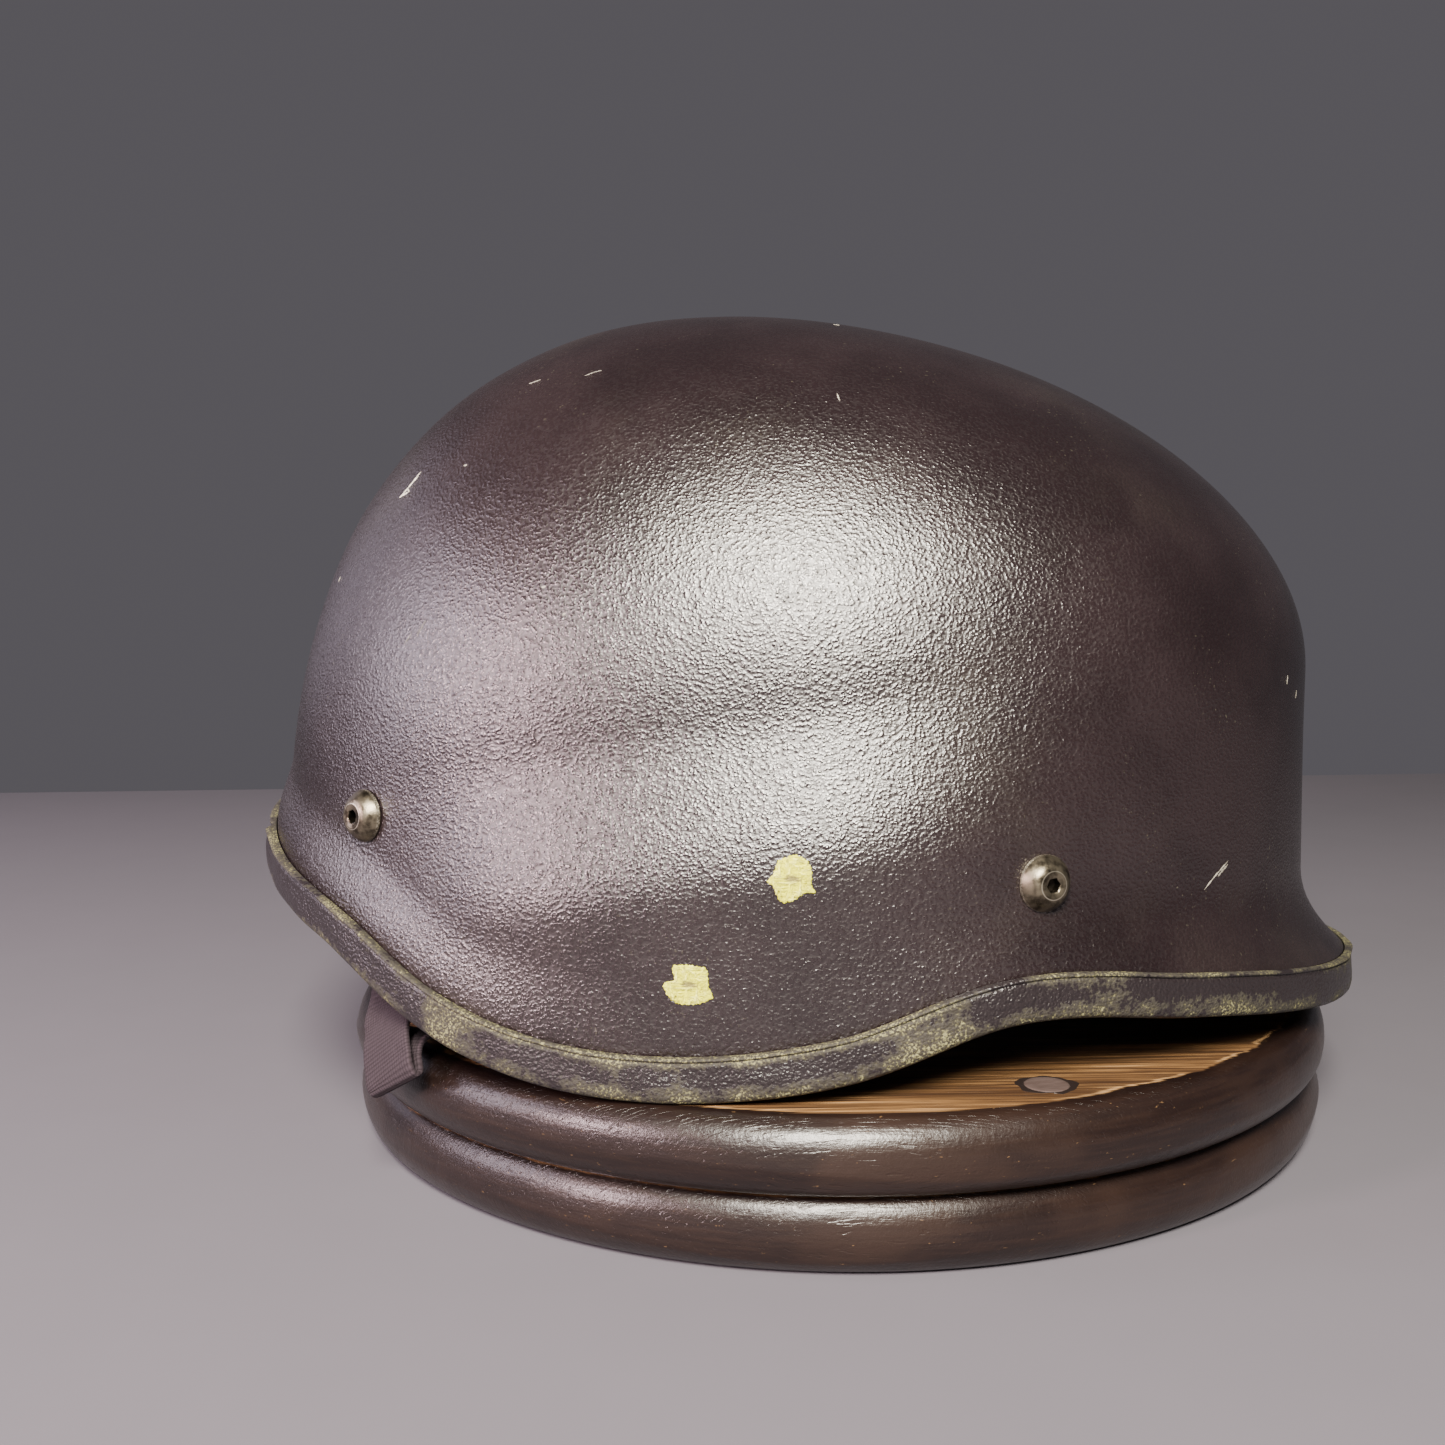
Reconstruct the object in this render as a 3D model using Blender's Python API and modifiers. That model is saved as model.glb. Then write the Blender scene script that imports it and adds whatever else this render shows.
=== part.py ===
"""Ballistic helmet resting on a stand of two round wooden boards.

The helmet is modelled as it rests, tipped back on its ear lobes and nape, with its front towards -X.
Its own frame has the rest plane at Z = 0 and the side that faces -Y is called the near side. An azimuth
in that frame is 0 at the front, 90 degrees on the near side and 180 degrees at the nape. All lengths are
in metres.
"""

import math

import bmesh
import bpy
import numpy as np
from mathutils import Matrix, Vector

# Clearance between neighbouring pieces
GAP = 0.0003

# Helmet shell
FRONT_REACH = 0.1248
BACK_REACH = 0.1339
HALF_WIDTH = 0.1101
PLAN_POWER = 2.23
CROWN_HEIGHT = 0.1685
CROWN_FORWARD = 0.0144
BROW_HEIGHT_FRONT = 0.0388
BROW_HEIGHT_BACK = 0.0786
DOME_POWER_FRONT = 2.03
DOME_POWER_BACK = 1.94
DOME_POWER_SIDE = 2.26
SHELL_WALL = 0.008

# Flare of the wall over the trim, and the bulge over each ear
BRIM_FLARE = 0.0030
NAPE_FLARE = 0.0104
CORNER_FLARE = 0.0018
BRIM_FLARE_HEIGHT = 0.0160
NAPE_FLARE_HEIGHT = 0.0190
FLARE_POWER = 1.5
NAPE_BEGINS = 0.1
NAPE_BLEND = 0.7
EAR_BULGE = 0.0077
EAR_BULGE_TOP = 0.0163
EAR_BULGE_HEIGHT = 0.036
EAR_AZIMUTH = 88.0
EAR_SPREAD = 34.0
EAR_POWER = 4

# Height of the rim over the rest plane, as a share of the lift at the brim
BRIM_LIFT = 0.0418
RIM_TABLE = (
    # azimuth, share of BRIM_LIFT
    (0.0, 1.000),
    (15.0, 0.914),
    (30.0, 0.748),
    (45.0, 0.552),
    (58.0, 0.272),
    (70.0, 0.100),
    (85.0, 0.040),
    (100.0, 0.135),
    (115.0, 0.376),
    (135.0, 0.303),
    (155.0, 0.162),
    (180.0, 0.048),
)

# Rubber edge trim, a channel over the rim
TRIM_HEIGHT = 0.0072
TRIM_INNER_SHARE = 0.82
TRIM_WALL = 0.0017
TRIM_ROUNDING = 0.7

# Bolts
BOLT_TABLE = (
    # name, azimuth, share of CROWN_HEIGHT, whether the chin strap is clamped under it
    ("bolt_front_near", 46.4, 0.305, True),
    ("bolt_rear_near", 119.4, 0.243, False),
    ("bolt_front_far", -46.4, 0.305, True),
    ("bolt_rear_far", -119.4, 0.243, False),
)
HEAD_RADIUS = 0.0057
HEAD_SEAT = 0.0008
HEAD_FLAT_RADIUS = 0.0028
HEAD_HEIGHT = 0.0028
HEAD_EDGE = 0.0006
HEAD_CROWN = 0.62
SOCKET_ACROSS_CORNERS = 0.0031
SOCKET_DEPTH = 0.0020
SHANK_RADIUS = 0.0024
NUT_RADIUS = 0.0060
NUT_THICKNESS = 0.0025

# Chin strap, and the fold in it that hangs beside the upper board
STRAP_WIDTH = 0.0180
STRAP_THICKNESS = 0.0014
STRAP_TAB = 0.0105
STRAP_WALL_GAP = 0.0010
FOLD_GAP = 0.0006
FOLD_HEADING = 228.8
FOLD_ALONG = -0.0253
FOLD_TILT = 28.0
BEND_STEPS = 6
BEND_PLACE = (2.05, 0.39, -0.24)
WALL_TABLE = (
    # up from the bolt over STRAP_TAB, inward slack over STRAP_THICKNESS
    (1.0, 0.0),
    (0.0, 0.0),
    (-1.3, 0.7),
    (-2.6, 1.1),
)
DOWN_TABLE = (
    # out from the board's edge over STRAP_THICKNESS, along and up over STRAP_WIDTH, tilt
    (-5.60, -0.27, 0.88, 2.0),
    (-4.10, -0.21, 0.61, 12.0),
    (-1.20, -0.03, 0.39, 22.0),
    (1.10, 0.12, 0.15, 28.0),
    (2.15, 0.25, -0.04, 28.0),
)
UP_TABLE = (
    # the same columns, from the bend back over the board's edge
    (0.75, 0.30, -0.09, 26.0),
    (0.15, 0.25, 0.04, 20.0),
    (-1.00, 0.22, 0.155, 13.0),
    (-3.00, 0.21, 0.20, 7.0),
    (-5.60, 0.21, 0.15, 3.0),
    (-8.60, 0.22, 0.05, 0.0),
    (-12.00, 0.22, 0.0, 0.0),
    (-16.00, 0.22, 0.0, 0.0),
)
BOARD_TABLE = (
    # to the right and away over BOARD_RADIUS, up over BRIM_LIFT, heading of the strap
    (-0.460, -0.360, 0.000, 46.0),
    (-0.180, -0.080, 0.000, 48.0),
    (0.020, 0.160, 0.000, 68.0),
    (0.050, 0.380, 0.000, 100.0),
    (-0.080, 0.550, 0.000, 148.0),
    (-0.280, 0.610, 0.000, 168.0),
    (-0.460, 0.630, 0.010, 160.0),
    (-0.540, 0.660, 0.025, 150.0),
    (-0.610, 0.690, 0.100, 142.0),
    (-0.655, 0.715, 0.280, 134.0),
)
FAR_HEADING = 121.2

# Stand
BOARD_RADIUS = 0.1250
UPPER_THICKNESS = 0.0155
LOWER_THICKNESS = 0.0164
BOARD_EDGE = 0.0060
UPPER_SHIFT = (0.0, -0.0039)
PLUG_RADIUS = 0.0045
PLUG_DEPTH = 0.0040
PLUG_PLACE = (0.0360, -0.1030)

# Place of the helmet on the upper board
HELMET_SHIFT = (-0.0147, 0.0048)
HELMET_YAW = 5.4

# Fineness of the meshes
STATIONS = 56
FLARE_ROWS = 4
DOME_ROWS = 12
TURNED_STEPS = 56
BOARD_EDGE_STEPS = 8
HEAD_STEPS = 16
STRAP_STEPS = 3


def clear_scene():
    for obj in list(bpy.data.objects):
        bpy.data.objects.remove(obj, do_unlink=True)


def new_collection(name):
    collection = bpy.data.collections.new(name)
    bpy.context.scene.collection.children.link(collection)
    return collection


def material(name, colour, roughness, metallic=0.0):
    made = bpy.data.materials.new(name)
    made.use_nodes = True
    shader = made.node_tree.nodes["Principled BSDF"]
    shader.inputs["Base Color"].default_value = (*colour, 1.0)
    shader.inputs["Roughness"].default_value = roughness
    shader.inputs["Metallic"].default_value = metallic
    made.diffuse_color = (*colour, 1.0)
    return made


def add_object(name, mesh, collection, finish=None, sharp_angle=None):
    obj = bpy.data.objects.new(name, mesh)
    collection.objects.link(obj)
    if finish is not None:
        mesh.materials.append(finish)
    if sharp_angle is not None:
        mesh.shade_smooth()
        mesh.set_sharp_from_angle(angle=math.radians(sharp_angle))
    return obj


def smooth_step(share):
    """0 below 0, 1 above 1, and level at both ends."""
    share = np.clip(share, 0.0, 1.0)
    return share * share * (3.0 - 2.0 * share)


def curve_through(positions, values, at):
    """Cubic Hermite curve through the table's values. Each row's slope comes from its neighbours."""
    positions = np.asarray(positions, float)
    values = np.asarray(values, float)
    slopes = np.gradient(values, positions, axis=0)
    row = np.clip(np.searchsorted(positions, at, side="right") - 1, 0, len(positions) - 2)
    span = positions[row + 1] - positions[row]
    u = (at - positions[row]) / span
    if values.ndim > 1:
        u = u[:, None]
        span = span[:, None]
    start = (2 * u**3 - 3 * u**2 + 1) * values[row] + (u**3 - 2 * u**2 + u) * span * slopes[row]
    end = (3 * u**2 - 2 * u**3) * values[row + 1] + (u**3 - u**2) * span * slopes[row + 1]
    return start + end


def rim_height(azimuth):
    """Height of the shell's lower edge, the same on both sides."""
    rows = RIM_TABLE[:0:-1] + RIM_TABLE
    angles = [-row[0] for row in RIM_TABLE[:0:-1]] + [row[0] for row in RIM_TABLE]
    heights = [row[1] * BRIM_LIFT for row in rows]
    degrees = (np.degrees(azimuth) + 180.0) % 360.0 - 180.0
    return curve_through(angles, heights, degrees)


def rim_steepness(azimuth):
    """How much longer a length square to the rim becomes when it is measured upright."""
    step = 1e-3
    rise = rim_height(azimuth + step) - rim_height(azimuth - step)
    run = 2 * step * (FRONT_REACH + BACK_REACH + 2 * HALF_WIDTH) / 4
    return np.sqrt(1.0 + (rise / run) ** 2)


def trim_top(azimuth):
    """Height of the trim's top edge over the rim."""
    return TRIM_HEIGHT * rim_steepness(azimuth)


def shell_surface(azimuth, height):
    """Point of the shell's outer face at each azimuth and height.

    The plan is a superellipse. Above the brow its reach shrinks to the crown along a second superellipse,
    while the section's middle moves forward. Below, the wall steps out over the ears and hangs plumb under
    that, and it flares towards the trim at the brim, the nape and the corners between.
    """
    azimuth, height = np.broadcast_arrays(np.asarray(azimuth, float), np.asarray(height, float))
    forward = np.cos(azimuth)
    sideways = np.sin(azimuth)
    ahead = forward > 0
    reach = np.where(ahead, FRONT_REACH, BACK_REACH)
    plan = (np.abs(forward) / reach) ** PLAN_POWER + (np.abs(sideways) / HALF_WIDTH) ** PLAN_POWER
    radius = plan ** (-1.0 / PLAN_POWER)
    brow_middle = (BROW_HEIGHT_FRONT + BROW_HEIGHT_BACK) / 2
    brow = brow_middle + (BROW_HEIGHT_FRONT - BROW_HEIGHT_BACK) / 2 * forward
    rise = np.clip((height - brow) / (CROWN_HEIGHT - brow), 0.0, 1.0)
    end_power = np.where(ahead, DOME_POWER_FRONT, DOME_POWER_BACK)
    power = end_power * forward**2 + DOME_POWER_SIDE * sideways**2
    dome = np.maximum(1.0 - rise**power, 0.0) ** (1.0 / power)
    over_trim = height - rim_height(azimuth) - trim_top(azimuth)
    brim_share = smooth_step(1.0 - over_trim / BRIM_FLARE_HEIGHT)
    nape_share = np.clip(1.0 - over_trim / NAPE_FLARE_HEIGHT, 0.0, 1.0)
    towards_nape = smooth_step((-forward - NAPE_BEGINS) / NAPE_BLEND)
    profile = (1.0 - towards_nape) * brim_share + towards_nape * nape_share**2
    end_flare = np.where(ahead, BRIM_FLARE, NAPE_FLARE)
    corner = (2 * forward * sideways) ** 2
    flare = (end_flare * np.abs(forward) ** FLARE_POWER + CORNER_FLARE * corner) * profile
    off_ear = np.abs((np.abs(np.degrees(azimuth)) + 180.0) % 360.0 - 180.0) - EAR_AZIMUTH
    ear = EAR_BULGE * np.exp(-((off_ear / EAR_SPREAD) ** EAR_POWER))
    ear = ear * smooth_step((brow + EAR_BULGE_TOP - height) / EAR_BULGE_HEIGHT)
    radius = radius * dome + flare + ear
    return np.stack(
        [-forward * radius - CROWN_FORWARD * rise**2, -sideways * radius, height], axis=-1
    )


def outward(azimuth, height):
    """Unit normal of the outer face, from the surface's two slopes."""
    step = 1e-5
    round_step = shell_surface(azimuth + step, height) - shell_surface(azimuth - step, height)
    up_step = shell_surface(azimuth, height + step) - shell_surface(azimuth, height - step)
    normal = np.cross(round_step, up_step)
    return normal / np.linalg.norm(normal, axis=-1, keepdims=True)


def station_azimuths():
    return np.radians(np.arange(STATIONS) * 360.0 / STATIONS)


def shell_row_heights(azimuths):
    """Rows of heights from the rim up: the trim's top edge, the flare, then rows that crowd to the crown."""
    rim = rim_height(azimuths)
    flare_base = rim + trim_top(azimuths)
    flare_top = flare_base + NAPE_FLARE_HEIGHT
    rows = [rim]
    for row in range(FLARE_ROWS):
        rows.append(flare_base + NAPE_FLARE_HEIGHT * row / FLARE_ROWS)
    for row in range(DOME_ROWS):
        rows.append(flare_top + (CROWN_HEIGHT - flare_top) * math.sin(math.pi / 2 * row / DOME_ROWS))
    return np.array(rows)


def ring_faces(rows, columns):
    """Quads between rows of points that each close on themselves, turning outwards."""
    faces = []
    for row in range(rows - 1):
        for column in range(columns):
            after = (column + 1) % columns
            faces.append(
                (
                    row * columns + column,
                    row * columns + after,
                    (row + 1) * columns + after,
                    (row + 1) * columns + column,
                )
            )
    return faces


def build_shell(collection, finish):
    azimuths = station_azimuths()
    heights = shell_row_heights(azimuths)
    points = shell_surface(azimuths[None, :], heights).reshape(-1, 3)
    crown = np.array([[-CROWN_FORWARD, 0.0, CROWN_HEIGHT]])
    faces = ring_faces(len(heights), STATIONS)
    top = (len(heights) - 1) * STATIONS
    for column in range(STATIONS):
        faces.append((top + column, top + (column + 1) % STATIONS, len(points)))
    mesh = bpy.data.meshes.new("helmet_shell")
    mesh.from_pydata(np.concatenate([points, crown]).tolist(), [], faces)
    shell = add_object("helmet_shell", mesh, collection, finish, sharp_angle=60)
    wall = shell.modifiers.new("wall", "SOLIDIFY")
    wall.thickness = SHELL_WALL
    wall.offset = -1.0
    wall.use_even_offset = True
    return shell


def wall_points(shell):
    """Outer and inner points of the shell's rim and of the row at the trim's top edge."""
    bpy.context.view_layer.update()
    evaluated = shell.evaluated_get(bpy.context.evaluated_depsgraph_get())
    mesh = evaluated.to_mesh()
    points = np.empty(len(mesh.vertices) * 3)
    mesh.vertices.foreach_get("co", points)
    evaluated.to_mesh_clear()
    points = points.reshape(-1, 3)
    outer, inner = points[: len(points) // 2], points[len(points) // 2 :]
    return outer[:STATIONS], outer[STATIONS : 2 * STATIONS], inner[:STATIONS], inner[STATIONS : 2 * STATIONS]


def unit(vectors):
    return vectors / np.linalg.norm(vectors, axis=-1, keepdims=True)


def trim_section(shell):
    """Rings of the channel's section, following the wall that it clasps."""
    rim_out, top_out, rim_in, top_in = wall_points(shell)
    across = unit(rim_out - rim_in)
    up_out = unit(top_out - rim_out)
    up_in = unit(top_in - rim_in)
    stretch = rim_steepness(station_azimuths())[:, None]
    face = GAP + TRIM_WALL
    corner = GAP + TRIM_WALL * TRIM_ROUNDING
    below = face * stretch
    gap_below = GAP * stretch
    inner_top = rim_in + (top_in - rim_in) * TRIM_INNER_SHARE
    return [
        top_out + across * GAP,
        top_out + across * corner,
        top_out + across * face - up_out * TRIM_WALL * TRIM_ROUNDING,
        rim_out + across * face,
        rim_out + across * corner - up_out * below * TRIM_ROUNDING,
        rim_out - up_out * below,
        rim_in - up_in * below,
        rim_in - across * corner - up_in * below * TRIM_ROUNDING,
        rim_in - across * face,
        inner_top - across * face,
        inner_top - across * GAP,
        rim_in - across * GAP - up_in * gap_below,
        rim_out + across * GAP - up_out * gap_below,
    ]


def build_trim(shell, collection, finish):
    rings = trim_section(shell)
    points = np.concatenate(rings)
    faces = ring_faces(len(rings), STATIONS)
    last = (len(rings) - 1) * STATIONS
    for column in range(STATIONS):
        after = (column + 1) % STATIONS
        faces.append((last + column, last + after, after, column))
    mesh = bpy.data.meshes.new("edge_trim")
    mesh.from_pydata(points.tolist(), [], [face[::-1] for face in faces])
    trim = add_object("edge_trim", mesh, collection, finish, sharp_angle=40)
    return trim, float(points[:, 2].min())


def turned(name, profile, steps):
    """Open profile of (radius, height) pairs from top to bottom, turned about Z by a Screw."""
    mesh = bpy.data.meshes.new(name)
    edges = [(row, row + 1) for row in range(len(profile) - 1)]
    mesh.from_pydata([(radius, 0.0, height) for radius, height in profile], edges, [])
    obj = bpy.data.objects.new(name, mesh)
    screw = obj.modifiers.new("turn", "SCREW")
    screw.steps = steps
    screw.render_steps = steps
    screw.use_merge_vertices = True
    screw.merge_threshold = 0.00001
    screw.use_smooth_shade = True
    return obj


def evaluated_copy(obj, name):
    """The mesh that an object's modifiers make, as a mesh of its own."""
    bpy.context.scene.collection.objects.link(obj)
    bpy.context.view_layer.update()
    graph = bpy.context.evaluated_depsgraph_get()
    mesh = bpy.data.meshes.new_from_object(obj.evaluated_get(graph))
    mesh.name = name
    bpy.data.objects.remove(obj, do_unlink=True)
    return mesh


def cutter(name, mesh, collection):
    obj = add_object(name, mesh, collection)
    obj.hide_render = True
    obj.display_type = "WIRE"
    return obj


def cylinder_mesh(name, radius, length, sides):
    shape = bmesh.new()
    bmesh.ops.create_cone(
        shape, cap_ends=True, segments=sides, radius1=radius, radius2=radius, depth=length
    )
    mesh = bpy.data.meshes.new(name)
    shape.to_mesh(mesh)
    shape.free()
    return mesh


def cut(obj, tool):
    hole = obj.modifiers.new("cut_" + tool.name, "BOOLEAN")
    hole.operation = "DIFFERENCE"
    hole.object = tool
    hole.solver = "EXACT"


def bolt_mesh(name, grip):
    """Head, shank and inner nut in one turned solid. Z points out of the shell and 0 is its outer face."""
    under = HEAD_SEAT
    top = under + HEAD_HEIGHT
    crown = under + HEAD_EDGE + (HEAD_HEIGHT - HEAD_EDGE) * HEAD_CROWN
    nut_top = -grip
    profile = [
        (0.0, top),
        (HEAD_FLAT_RADIUS, top),
        ((HEAD_FLAT_RADIUS + HEAD_RADIUS) / 2, crown),
        (HEAD_RADIUS, under + HEAD_EDGE),
        (HEAD_RADIUS, under),
        (SHANK_RADIUS, under),
        (SHANK_RADIUS, nut_top),
        (NUT_RADIUS, nut_top),
        (NUT_RADIUS, nut_top - NUT_THICKNESS),
        (0.0, nut_top - NUT_THICKNESS),
    ]
    return evaluated_copy(turned(name, profile, HEAD_STEPS), name)


def bolt_sites():
    """Each bolt's name, its place on the outer face, the outward normal, and whether it clamps the strap."""
    sites = []
    for name, degrees, share, clamps in BOLT_TABLE:
        azimuth = math.radians(degrees)
        height = share * CROWN_HEIGHT
        sites.append((name, shell_surface(azimuth, height), outward(azimuth, height), clamps))
    return sites


def build_bolts(shell, seat, collection, cutters, finish):
    """The four bolts and their holes through the shell. Gives the holes' cutters by name."""
    wall_grip = SHELL_WALL + 2 * GAP
    strap_grip = wall_grip + STRAP_WALL_GAP + STRAP_THICKNESS
    meshes = {False: bolt_mesh("bolt", wall_grip), True: bolt_mesh("bolt_with_strap", strap_grip)}
    hole_mesh = cylinder_mesh("bolt_hole", SHANK_RADIUS + GAP, 2 * SHELL_WALL + 4 * strap_grip, HEAD_STEPS)
    socket_length = 4 * SOCKET_DEPTH
    socket_mesh = cylinder_mesh("hex_socket", SOCKET_ACROSS_CORNERS / 2, socket_length, 6)
    holes = {}
    for mesh in meshes.values():
        mesh.materials.append(finish)
        mesh.shade_smooth()
        mesh.set_sharp_from_angle(angle=math.radians(30))
    for name, place, normal, clamps in bolt_sites():
        turn = Vector(normal).to_track_quat("Z", "Y").to_matrix().to_4x4()
        frame = Matrix.Translation(Vector(place)) @ turn
        bolt = bpy.data.objects.new(name, meshes[clamps])
        collection.objects.link(bolt)
        hole = cutter("hole_for_" + name, hole_mesh, cutters)
        socket = cutter("socket_of_" + name, socket_mesh, cutters)
        socket_middle = HEAD_SEAT + HEAD_HEIGHT - SOCKET_DEPTH + socket_length / 2
        for piece, lift in ((bolt, 0.0), (hole, 0.0), (socket, socket_middle)):
            piece.parent = seat
            piece.matrix_local = frame @ Matrix.Translation((0.0, 0.0, lift))
        cut(shell, hole)
        cut(bolt, socket)
        holes[name] = hole
    return holes


def board_profile(thickness):
    """Half section of a board: flat top, half-round edge of elliptic arcs, flat underside."""
    middle = thickness / 2
    profile = [(0.0, thickness)]
    for step in range(BOARD_EDGE_STEPS + 1):
        angle = math.pi / 2 - step * math.pi / BOARD_EDGE_STEPS
        profile.append(
            (BOARD_RADIUS - BOARD_EDGE + BOARD_EDGE * math.cos(angle), middle + middle * math.sin(angle))
        )
    profile.append((0.0, 0.0))
    return profile


def build_board(name, thickness, place, collection, finish):
    mesh = evaluated_copy(turned(name, board_profile(thickness), TURNED_STEPS), name)
    board = add_object(name, mesh, collection, finish, sharp_angle=50)
    board.location = place
    return board


def build_stand(collection, cutters, wood, dark):
    upper_base = LOWER_THICKNESS + GAP
    top = upper_base + UPPER_THICKNESS
    build_board("stand_lower_board", LOWER_THICKNESS, (0.0, 0.0, 0.0), collection, wood)
    upper = build_board("stand_upper_board", UPPER_THICKNESS, (*UPPER_SHIFT, upper_base), collection, wood)
    recess_mesh = cylinder_mesh("plug_recess", PLUG_RADIUS + GAP, 2 * PLUG_DEPTH, HEAD_STEPS)
    recess = cutter("plug_recess", recess_mesh, cutters)
    place = (PLUG_PLACE[0] + UPPER_SHIFT[0], PLUG_PLACE[1] + UPPER_SHIFT[1])
    recess.location = (*place, top)
    cut(upper, recess)
    plug_height = PLUG_DEPTH - 2 * GAP
    plug_mesh = cylinder_mesh("stand_plug", PLUG_RADIUS, plug_height, HEAD_STEPS)
    plug = add_object("stand_plug", plug_mesh, collection, dark, sharp_angle=50)
    plug.location = (*place, top - PLUG_DEPTH + GAP + plug_height / 2)
    return top


def strap_rows(seat_frame, board_top):
    """Centre line of the webbing from bolt to bolt, with its heading and the tilt of its width.

    It goes down the near inner wall and out under the rim, turns back up on itself beside the upper board,
    comes in over the board's edge, lies across the board in a bow and climbs the far inner wall.
    """
    turn = np.array(seat_frame.to_3x3())
    seat = np.array(seat_frame.translation)
    centre = np.array([*UPPER_SHIFT, board_top])
    lie = GAP + STRAP_THICKNESS / 2
    up = np.array([0.0, 0.0, 1.0])
    fold = math.radians(FOLD_HEADING)
    fold_out = np.array([math.cos(fold), math.sin(fold), 0.0])
    fold_along = np.array([-math.sin(fold), math.cos(fold), 0.0])
    inward = FOLD_HEADING - 180.0

    def on_wall(bolt, lift, slack):
        """Point over or under a bolt. The tab above it follows the wall, and the rest hangs plumb."""
        _, degrees, share, _ = bolt
        azimuth = math.radians(degrees)
        height = share * CROWN_HEIGHT
        depth = SHELL_WALL + STRAP_WALL_GAP + STRAP_THICKNESS * (0.5 + slack)
        tab = max(lift, 0.0) * STRAP_TAB
        hang = min(lift, 0.0) * STRAP_TAB
        place = shell_surface(azimuth, height + tab) - outward(azimuth, height) * depth
        return turn @ place + seat + up * hang

    def by_fold(out, along, height):
        place = centre + fold_out * (BOARD_RADIUS + lie + out * STRAP_THICKNESS)
        return place + fold_along * (FOLD_ALONG + along * STRAP_WIDTH) + up * (lie + height * STRAP_WIDTH)

    rows = [(on_wall(BOLT_TABLE[0], lift, slack), inward, 0.0) for lift, slack in WALL_TABLE]
    rows += [(by_fold(out, along, height), inward, tilt) for out, along, height, tilt in DOWN_TABLE]
    tilt = math.radians(FOLD_TILT)
    down = math.sin(tilt) * fold_along - math.cos(tilt) * up
    bend = by_fold(*BEND_PLACE)
    bend_radius = (STRAP_THICKNESS + FOLD_GAP) / 2
    for step in range(BEND_STEPS + 1):
        angle = math.pi * step / BEND_STEPS
        place = bend + bend_radius * (math.cos(angle) * fold_out + math.sin(angle) * down)
        rows.append((place, inward, FOLD_TILT))
    rows += [(by_fold(out, along, height), inward, tilt) for out, along, height, tilt in UP_TABLE]
    for right, away, height, heading in BOARD_TABLE:
        offset = np.array([right * BOARD_RADIUS, away * BOARD_RADIUS, lie + height * BRIM_LIFT])
        rows.append((centre + offset, heading, 0.0))
    rows += [(on_wall(BOLT_TABLE[2], lift, slack), FAR_HEADING, 0.0) for lift, slack in WALL_TABLE[::-1]]
    return rows


def build_strap(seat_frame, board_top, holes, collection, finish):
    rows = strap_rows(seat_frame, board_top)
    places = np.array([row[0] for row in rows])
    turns = np.array([row[1:] for row in rows])
    spans = np.linalg.norm(np.diff(places, axis=0), axis=1)
    length = np.concatenate([[0.0], np.cumsum(spans)])
    parts = np.arange(STRAP_STEPS) / STRAP_STEPS
    stops = np.append((length[:-1, None] + spans[:, None] * parts).ravel(), length[-1])
    line = curve_through(length, places, stops)
    heading, tilt = np.radians(curve_through(length, turns, stops)).T
    forward = unit(np.gradient(line, stops, axis=0))
    level = np.stack([np.sin(heading), -np.cos(heading), np.zeros_like(heading)], axis=-1)
    wide = level * np.cos(tilt)[:, None] + np.array([0.0, 0.0, 1.0]) * np.sin(tilt)[:, None]
    wide = unit(wide - forward * np.sum(wide * forward, axis=1, keepdims=True))
    face = np.cross(forward, wide)
    half_width = wide * STRAP_WIDTH / 2
    half_thick = face * STRAP_THICKNESS / 2
    near_edge = (half_width + half_thick, half_thick - half_width)
    corners = near_edge + (-near_edge[0], -near_edge[1])
    points = np.stack([line + corner for corner in corners], axis=1).reshape(-1, 3)
    faces = ring_faces(len(line), len(corners))
    last = len(points) - len(corners)
    faces.append(tuple(range(len(corners)))[::-1])
    faces.append(tuple(range(last, last + len(corners))))
    mesh = bpy.data.meshes.new("chin_strap")
    mesh.from_pydata(points.tolist(), [], faces)
    strap = add_object("chin_strap", mesh, collection, finish, sharp_angle=50)
    for name, _, _, clamps in BOLT_TABLE:
        if clamps:
            cut(strap, holes[name])


def main():
    clear_scene()
    parts = new_collection("ballistic_helmet")
    cutters = new_collection("cutters")
    shell_paint = material("shell_paint", (0.018, 0.015, 0.017), 0.42)
    rubber = material("trim_rubber", (0.030, 0.029, 0.026), 0.70)
    steel = material("bolt_steel", (0.30, 0.28, 0.23), 0.35, metallic=1.0)
    webbing = material("strap_webbing", (0.020, 0.019, 0.024), 0.90)
    wood = material("stained_wood", (0.060, 0.035, 0.022), 0.40)
    dark_wood = material("dark_wood", (0.020, 0.014, 0.011), 0.50)
    board_top = build_stand(parts, cutters, wood, dark_wood)
    seat = bpy.data.objects.new("helmet_seat", None)
    parts.objects.link(seat)
    shell = build_shell(parts, shell_paint)
    trim, lowest = build_trim(shell, parts, rubber)
    seat.matrix_basis = Matrix.Translation(
        (
            HELMET_SHIFT[0] + UPPER_SHIFT[0],
            HELMET_SHIFT[1] + UPPER_SHIFT[1],
            board_top + GAP - lowest,
        )
    ) @ Matrix.Rotation(-math.radians(HELMET_YAW), 4, "Z")
    shell.parent = seat
    trim.parent = seat
    holes = build_bolts(shell, seat, parts, cutters, steel)
    build_strap(seat.matrix_basis, board_top, holes, parts, webbing)


main()
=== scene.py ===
"""Visual model of a ballistic helmet that rests on two stacked round wooden boards.

The helmet's own frame has its rest plane at Z = 0. An azimuth in it is 0 at the front, which is -X,
90 degrees on the near side, which faces -Y, and 180 degrees at the nape. Lengths are in metres.
"""

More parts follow.
